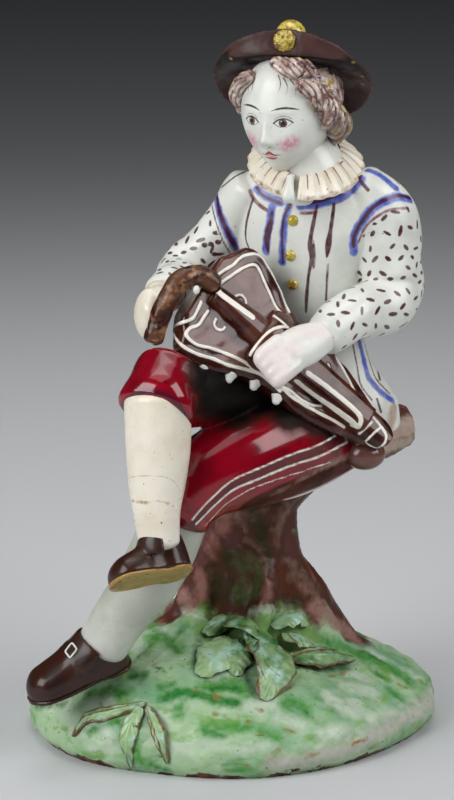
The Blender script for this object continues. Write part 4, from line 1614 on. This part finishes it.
def hatGlaze():
    # thin manganese over white on the lit brim reads mauve; run thick underneath it is near black
    material, tree, where = newMaterial("mauve manganese glaze")
    normal = addNode(tree, "NewGeometry").outputs["Normal"]
    facing = addNode(tree, "SeparateXYZ", [normal]).outputs["Z"]
    height = addNode(tree, "SeparateXYZ", [where]).outputs["Z"]
    under = graded(tree, where, facing, 0.02, -0.2, (7, 3, 0.3), "SMOOTHSTEP")
    low, high = hat["pool"]
    pooled = graded(tree, where, height, low * metre, high * metre, kind="SMOOTHSTEP")
    dark = addNode(tree, "Math", [under, pooled], operation="MULTIPLY")
    colour = patched(tree, where, paint["hatMauve"], [("hat", 10, 3, even, 0.35, 0.65)])
    colour = layered(tree, colour, (paint["hatShade"], under), (paint["hatDark"], dark))
    colour = painted(tree, where, colour, [("chips", "ochrePale", 0.14, 0.3, 0.25)])
    glazed(tree, where, colour, roughness=0.5, coat=0.06, ripple=0.14, rippleLength=4, sheen=0.25)
    return material


makeHat()


# Hands: a cream fist round the crank, and a pale mitt on the keys with rose lines between the fingers

hands = {
    "right": {"wrist": (-16.4, -9.5, 116), "reach": (-3, -6.6, -1.6), "curl": (1.2, -5, -4.4),
              "across": (0.1, 0.35, -0.93), "width": 5, "thick": 3.4,
              "thumb": [(-17.5, -18, 118.5), (-15.5, -22.5, 118.5)]},
    "left": {"wrist": (22.4, -17.6, 107.4), "reach": (-9, -7.6, -2.4), "curl": (-4.4, -3.4, -4.4),
             "across": (0.62, -0.3, -0.72), "width": 5.2, "thick": 3.2, "thumb": None},
    "fist": ((-19.6, -17, 112.5), (4.2, 6, 6.6)),  # the curled fingers: middle and half-sizes
    "fingerLines": [  # half-width and camera pixels
        (0.3, 277, 347, 269, 352, 258, 359), (0.32, 284, 357, 275, 362, 263, 369),
        (0.34, 289, 366, 281, 371, 271, 378), (0.3, 291, 374, 286, 379, 280, 384),
    ],
}


def handForms(hand):
    # a flat palm, then four fingers side by side that curl on from the knuckles, and a thumb
    wrist, reach, curl, across = [np.array(hand[key], float) for key in ("wrist", "reach", "curl", "across")]
    width, thick = hand["width"], hand["thick"]
    knuckle = wrist + reach
    forms = [sweptForm([(*wrist, width * 0.75, thick * 1.2), (*(wrist + reach * 0.55), width, thick * 1.1),
                        (*knuckle, width * 0.95, thick)], across, 80, 50)]
    for finger in (-1.5, -0.5, 0.5, 1.5):
        root = knuckle + across * finger * width * 0.44
        middle = root + curl * 0.5 + reach * 0.22
        tip = root + curl - across * finger * width * 0.06
        forms.append(sweptForm([(*root, 2.1, 2.4), (*middle, 2, 2.1), (*tip, 1.6, 1.5)], across, 48, 40,
                               (0.5, 0.9)))
    if hand["thumb"]:
        first, second = hand["thumb"]
        forms.append(sweptForm([(*(wrist + reach * 0.35), 1.8, 1.7), (*first, 1.6, 1.5), (*second, 1.2, 1.2)],
                               across, 40, 40, (0.5, 0.9)))
    return forms


def makeHands():
    # palm, fingers, thumb and the curled fist made one skin each
    fist = roundLump(*hands["fist"])
    right = fused("right hand", handForms(hands["right"]) + [fist], 0.4, 10)
    addPiece("right_hand", right, creamPaint("cream hand paint"))

    def blush(tree, where, colour):
        return patched(tree, where, colour, [("blushed", 9, 3, even, 0.4, 0.62)])

    left = fused("left hand", handForms(hands["left"]), 0.36, 14)
    setStrokes(left, places(left), skinOf(left), {"fingerLines": hands["fingerLines"]})
    pale = whiteTinGlaze("pink-white hand glaze", [("fingerLines", "rose", 0.3, 0.25, 0.5)], blush)
    addPiece("left_hand", left, pale)


makeHands()


# Hurdy-gurdy: u runs along its board from the tail, w across it and n out of it, mm

instrument = {
    "tail": (-5.6, -20.6, 118.4),
    "head": (36.0, -12.9, 80.6),
    "up": (0.5087, 0.5887, 0.6283),  # across the board, towards the upper lobe
    "depth": 9.5,
    "pin": (-4.2, -3, 3.4),  # u, w and n of the white pin by the crank
    "overhang": 2.4,  # how far the body reaches past the tail
    "halfWidths": [13.6, 16.8, 16.4, 13.9, 11.1, 9.6, 9.2, 9.4, 8.6, 7, 5.2, 4],
    "keys": [8.6, 15.6, 22, 28.8],
    "lines": [  # half-width and camera pixels of the trailed white lines
        (0.36, 215, 277, 223, 271, 233, 265, 239, 259, 246, 255, 255, 254, 262, 258, 270, 270, 277, 283,
         283, 297, 289, 312),
        (0.36, 218, 285, 228, 278, 238, 271, 247, 266, 255, 265, 260, 271, 264, 281, 270, 294, 277, 308,
         288, 321),
        (0.38, 201, 302, 198, 309, 193, 318, 184, 322, 176, 325, 173, 330, 178, 341, 187, 349, 200, 355,
         214, 359, 228, 365, 248, 370, 268, 377, 281, 387, 292, 397, 306, 406, 321, 414, 333, 420, 344, 427),
        (0.38, 208, 311, 203, 318, 198, 325, 190, 328, 186, 334, 190, 340, 198, 345, 210, 348, 222, 352,
         234, 357, 246, 363, 259, 373, 270, 382, 280, 391),
        (0.34, 268, 377, 280, 385, 292, 392, 302, 400, 312, 405, 321, 406),
        (0.3, 234, 298, 238, 295, 243, 296, 246, 301, 245, 306),
        (0.3, 216, 319, 214, 324, 217, 329, 222, 330, 225, 327),
        (0.34, 336, 357, 342, 367, 349, 380, 356, 394, 364, 409),
        (0.34, 328, 364, 331, 374, 336, 388, 344, 395, 352, 404),
    ],
    "pale": [  # the thin mauve glaze in the middle of both lobes
        (2.6, 243, 278, 254, 276, 262, 290, 270, 306), (2.4, 196, 334, 212, 338, 232, 350, 250, 360),
        (1.2, 226, 276, 238, 270), (1.1, 300, 352, 312, 362), (1.2, 206, 318, 212, 328),
    ],
    "dark": [  # the red-brown side and shadows
        (1.6, 170, 318, 170, 334, 178, 350, 200, 362, 228, 372, 262, 385, 290, 406, 330, 428),
        (0.5, 238, 253, 250, 249, 262, 252, 272, 264, 281, 282, 288, 300, 294, 316),
        (1.0, 256, 262, 266, 280, 276, 300), (0.8, 186, 326, 182, 334, 192, 346, 212, 353),
        (1.2, 208, 306, 222, 324, 238, 340),
    ],
    # each block on the board: where it starts and ends, and its half-width at both, mm
    "tailpiece": (0.5, 16, 2.2, 3.9),
    "keybox": (21, -6, 4.9, 3.6),  # this one ends short of the head
    "cover": (15.3, 22),
    "coverHalf": 8.2,
    "coverHeight": 6.6,
    "blockStrokes": {
        "tailpiece": {
            "lines": [(0.68, 212, 287, 225, 297, 239, 307, 253, 317),
                      (0.36, 199, 291, 211, 305, 225, 320, 239, 335)],
            "dark": [(0.5, 206, 291, 220, 305, 234, 317, 247, 325)]},
        "wheel_cover": {
            "lines": [(0.36, 286, 325, 274, 316, 264, 315, 255, 320, 248, 326, 242, 334, 239, 345),
                      (0.36, 288, 327, 279, 327, 270, 331, 262, 338, 256, 345, 250, 355)],
            "dark": [(2.2, 243, 340, 247, 350, 251, 358)]},
        "keybox": {
            "lines": [(0.85, 297, 382, 312, 394, 330, 406, 348, 419, 355, 425),
                      (0.62, 308, 373, 322, 383, 340, 397, 357, 412, 361, 420, 358, 427, 352, 426)],
            "dark": [(0.9, 304, 381, 318, 391, 335, 403, 352, 416)]},
        "pegbox": {
            "lines": [(0.36, 357, 437, 366, 443, 376, 448, 384, 444, 386, 435, 380, 425, 373, 417),
                      (0.3, 366, 441, 374, 433, 381, 427), (0.3, 359, 434, 366, 428, 372, 422)],
            "dark": [(1.6, 364, 436, 376, 440)]},
        "peg_block": {"pale": [(3, 356, 454, 366, 460, 380, 458)]},
    },
}
boardRun = np.subtract(instrument["head"], instrument["tail"])
boardLength = float(np.linalg.norm(boardRun))
boardAlong = unit(boardRun)
boardAcross = unit(np.array(instrument["up"]) - boardAlong * (boardAlong @ np.array(instrument["up"])))
boardOut = np.cross(boardAlong, boardAcross)


def onBoard(u, w, n):
    # from the board's own directions to the figure's
    u, w, n = np.broadcast_arrays(np.asarray(u, float), w, n)
    level = np.array(instrument["tail"]) + u[..., None] * boardAlong + w[..., None] * boardAcross
    return level + n[..., None] * boardOut


def roundedLoop(corners, count, softness=0.25):
    # a closed outline through corners, each cut back and rounded by the softness
    corners = np.asarray(corners, float)
    before, after = np.roll(corners, 1, 0), np.roll(corners, -1, 0)
    pairs = np.stack([mixed(corners, before, softness), mixed(corners, after, softness)], 1)
    pairs = pairs.reshape(-1, *corners.shape[1:])
    closed = np.concatenate([pairs, pairs[:1]])
    step = np.linalg.norm(np.diff(closed, axis=0), axis=-1)
    distance = np.concatenate([[0], np.cumsum(step.reshape(len(step), -1).mean(1))])
    share = np.linspace(0, distance[-1], count, endpoint=False)
    return np.stack([np.interp(share, distance, closed[:, k]) for k in range(closed.shape[1])], -1)


def boardBlock(start, end, rows, sectionAt, count=96):
    # a rounded section in w and n, carried along u
    outline = int(count * fine)
    return closedEnds(np.stack([onBoard(mixed(start, end, s), *roundedLoop(sectionAt(s), outline).T)
                                for s in upTo(1, rows)]))


def bar(half, bottom, shoulder, top):
    # the section of a beam with its upper edges cut off
    return [(half, bottom), (half, shoulder), (half * 0.5, top), (-half * 0.5, top), (-half, shoulder),
            (-half, bottom)]


def arch(s):
    # the section of the wheel's cover: a half ring that swells to the middle of its width
    swell = 0.84 + 0.2 * math.sin(math.pi * s) ** 0.6
    half, high, points = instrument["coverHalf"], instrument["coverHeight"], 14
    turns = [math.pi * i / points for i in range(points + 1)]
    return [(half * swell * math.cos(turn), 0.2 + high * swell * math.sin(turn)) for turn in turns]


def bodyForm():
    # the board's outline from its half-widths; corners eased at both ends; a shallow dome and a rounded belly
    t, angle = upTo(1, 200)[:, None], fullTurn(150)[None]
    corner = np.minimum(1, 0.72 + 4.5 * t) * np.minimum(1, 0.75 + 5 * (1 - t))
    half = alongCurve(instrument["halfWidths"], t[:, 0]) * corner
    depth = instrument["depth"] * (0.75 + 0.25 * np.sin(np.pi * np.minimum(1, t * 1.4)))
    cosine, sine = np.cos(angle), np.sin(angle)
    w = half * np.sign(cosine) * np.abs(cosine) ** 0.5
    n = np.where(sine > 0, 1.4 * np.abs(sine) ** 0.8, -depth * np.abs(sine) ** 0.55)
    u = mixed(-instrument["overhang"], boardLength, t)
    return closedEnds(onBoard(u + 0 * angle, w, n))


def makeInstrument():
    # the body, then blocks whose sections are carried along the board, and the keys below its edge
    mesh = fused("instrument body", [bodyForm()], 0.42, 4)
    points, tree = places(mesh), skinOf(mesh)
    lines = strokeField(points, brushStrokes(tree, instrument["lines"]))
    pushOut(mesh, points, 0.16 * eased(lines, 0.2, -0.2) + 0.08 * waves(points, 5, 51))
    setField(mesh, "lines", lines)
    proud = (points - np.array(instrument["tail"])) @ boardOut
    dark = strokeField(points, brushStrokes(tree, instrument["dark"]), far=5)
    setField(mesh, "dark", np.minimum(dark, 1.2 * (proud + 1.2)))  # the sides are dark all round
    setStrokes(mesh, points, tree, {"pale": instrument["pale"]})
    glazeOfBody = woodGlaze("manganese soundboard glaze", ("pale", "dark", "lines"))
    addPiece("instrument_body", mesh, glazeOfBody)

    start, end, thin, thick = instrument["tailpiece"]
    tailpiece = boardBlock(start, end, 50, lambda s: bar(mixed(thin, thick, s), 0, 3.2, 4.4))
    cover = boardBlock(*instrument["cover"], 50, arch, 110)
    start, short, wide, narrow = instrument["keybox"]
    keybox = boardBlock(start, boardLength + short, 60, lambda s: bar(mixed(wide, narrow, s), 0, 4.2, 5))
    pegbox = boardBlock(boardLength - 6.5, boardLength + 2, 60,
                        lambda s: bar(4 * math.sqrt(1 - 0.75 * s ** 4), -4, 2.4, 3.4))
    block = roundLump(onBoard(boardLength + 1.4, -3.4, -5.5), (5.2, 4.4, 4), 44, 60)
    forms = (tailpiece, cover, keybox, pegbox, block)
    for form, (name, strokes) in zip(forms, instrument["blockStrokes"].items()):
        paintedBlock(name, form, strokes)

    keys = []
    for u in instrument["keys"]:
        share = (u + instrument["overhang"]) / (boardLength + instrument["overhang"])
        edge = 0.6 - float(alongCurve(instrument["halfWidths"], np.array([share]))[0, 0])
        stations = [(*onBoard(u, edge, -0.6), 1.8, 1.4), (*onBoard(u + 0.4, edge - 1.6, -0.6), 1, 0.9)]
        keys.append(gridFaces(sweptForm(stations, boardAlong, 36, 20, (0.5, 0.9))))
    keys.append(gridFaces(roundLump(onBoard(*instrument["pin"]), (0.8, 0.8, 1.1), 20, 26)))
    addForm("keys_and_pin", joined(keys), whiteTinGlaze("ivory key glaze"))


def paintedBlock(name, form, strokes):
    # one block of the instrument, with its own brush lines
    mesh = makeMesh(name, *gridFaces(form))
    setStrokes(mesh, places(mesh), skinOf(mesh), strokes)
    addPiece(name, mesh, woodGlaze(name.replace("_", " ") + " glaze", strokes))


def woodGlaze(name, fields):
    # thin manganese glaze with brush streaks: mauve where white shows through, red-brown where it pools
    patches = [("boardPale", 6, 4, (1, 1, 0.6), 0.52, 0.8), ("redBrown", 7, 4, (0.8, 1, 1.4), 0.46, 0.66)]
    strokes = [("pale", "boardPale", 1.2, 1.2, 0.25), ("dark", "redBrown", 0.8, 0.8, 0.2),
               ("lines", "white", 0.1, 0.14, 0.12)]
    return glaze(name, "board", patches, strokes=[stroke for stroke in strokes if stroke[0] in fields],
                 roughness=0.2, coat=0.4, ripple=0.2, rippleLength=3, sheen=0.3)


makeInstrument()


# Crank: a thick wavering bow, rusty and pitted, from the tail over to the fist

crank = {
    "stations": [(-8, -22, 123.4, 2.6, 2.5), (-12.6, -24, 122, 2.7, 2.6),
                 (-16.2, -25, 116.5, 2.7, 2.5), (-18.8, -26, 108.5, 2.4, 2.3)],
    "start": (-0.6, 1.8, 2.2, 2.4, 2.3),  # on the board
}


def makeCrank():
    # one sweep from the board over to the fist, lumpier towards its end
    def lumps(t, angle):
        # waves along the bow that also turn round it, more towards the fist
        return 0.12 * np.sin(16 * t) + 0.1 * t * np.sin(23 * t + 2 * angle)

    u, w, n, a, b = crank["start"]
    stations = [(*onBoard(u, w, n), a, b)] + crank["stations"]
    mesh = makeMesh("crank", *gridFaces(sweptForm(stations, (0, 1, 0), 64, 120, swell=lumps)))
    points = places(mesh)
    lower = eased(points[:, 2], 122, 114)  # the arm of the bow is lumpier than its crown
    pushOut(mesh, points, (0.05 + 0.09 * lower) * waves(points, 3.2, 61))
    addPiece("crank", mesh, rustyGlaze())


def rustyGlaze():
    # thick manganese glaze that crawled and pitted: rust-brown with pale and black patches, hardly shiny
    return glaze("rusty manganese glaze", "rust", [
        ("redBrown", 4.5, 5, even, 0.42, 0.62), ("rustPale", 2.6, 5, even, 0.5, 0.68),
        ("black", 3.2, 4, even, 0.6, 0.74)], roughness=0.36, coat=0.2, pits=0.1, sheen=0.3)


makeCrank()


# Floor and lights: grey paper under a large soft box from the left, a weaker one from the right, a small one
# from above, and one that lights the paper only near the figure, so that it darkens with distance

studio = {
    "floorHalf": 4.0,  # metres
    "floorColour": "#c6c8ca",
    "worldColour": "#9da1a8",
    "worldStrength": 0.03,
    "floorRoughness": 0.7,
    "lamps": [  # place and aim in metres, side in metres, power in watts, spread in degrees
        ((-0.5, -0.4, 0.42), (0, 0, 0.09), 0.5, 4.5, 180),
        ((-0.05, -0.05, 0.62), (0, 0, 0.09), 0.4, 0.6, 180),
        ((0.5, -0.26, 0.46), (0, 0, 0.09), 0.44, 2.8, 180),
        ((0, 0.23, 0.6), (0, 0.23, 0), 0.5, 0.34, 80),
    ],
}


def makeStudio():
    scene, half = bpy.context.scene, studio["floorHalf"]
    mesh = bpy.data.meshes.new("floor")
    mesh.from_pydata([(-half, -half, 0), (half, -half, 0), (half, half, 0), (-half, half, 0)], [],
                     [(0, 1, 2, 3)])
    material, tree, _ = newMaterial("matt paper")
    shader = addNode(tree, "BsdfPrincipled", {
        "Base Color": colourOf(studio["floorColour"]), "Roughness": studio["floorRoughness"]})
    addNode(tree, "OutputMaterial", {"Surface": shader})
    mesh.materials.append(material)
    addObject("floor", mesh)
    world = bpy.data.worlds.new("soft room")
    world.use_nodes = True
    sky = world.node_tree.nodes["Background"]
    sky.inputs["Color"].default_value = colourOf(studio["worldColour"])
    sky.inputs["Strength"].default_value = studio["worldStrength"]
    scene.world = world
    scene.view_settings.view_transform = "Standard"
    for index, (place, aim, side, power, spread) in enumerate(studio["lamps"]):
        data = bpy.data.lights.new(f"soft box {index}", "AREA")
        data.shape = "SQUARE"
        data.size = side
        data.energy = power
        data.spread = math.radians(spread)
        lamp = addObject(f"soft box {index}", data)
        lamp.location = place
        lamp.rotation_euler = (Vector(aim) - Vector(place)).to_track_quat("-Z", "Y").to_euler()
    print("studio lit")


makeStudio()
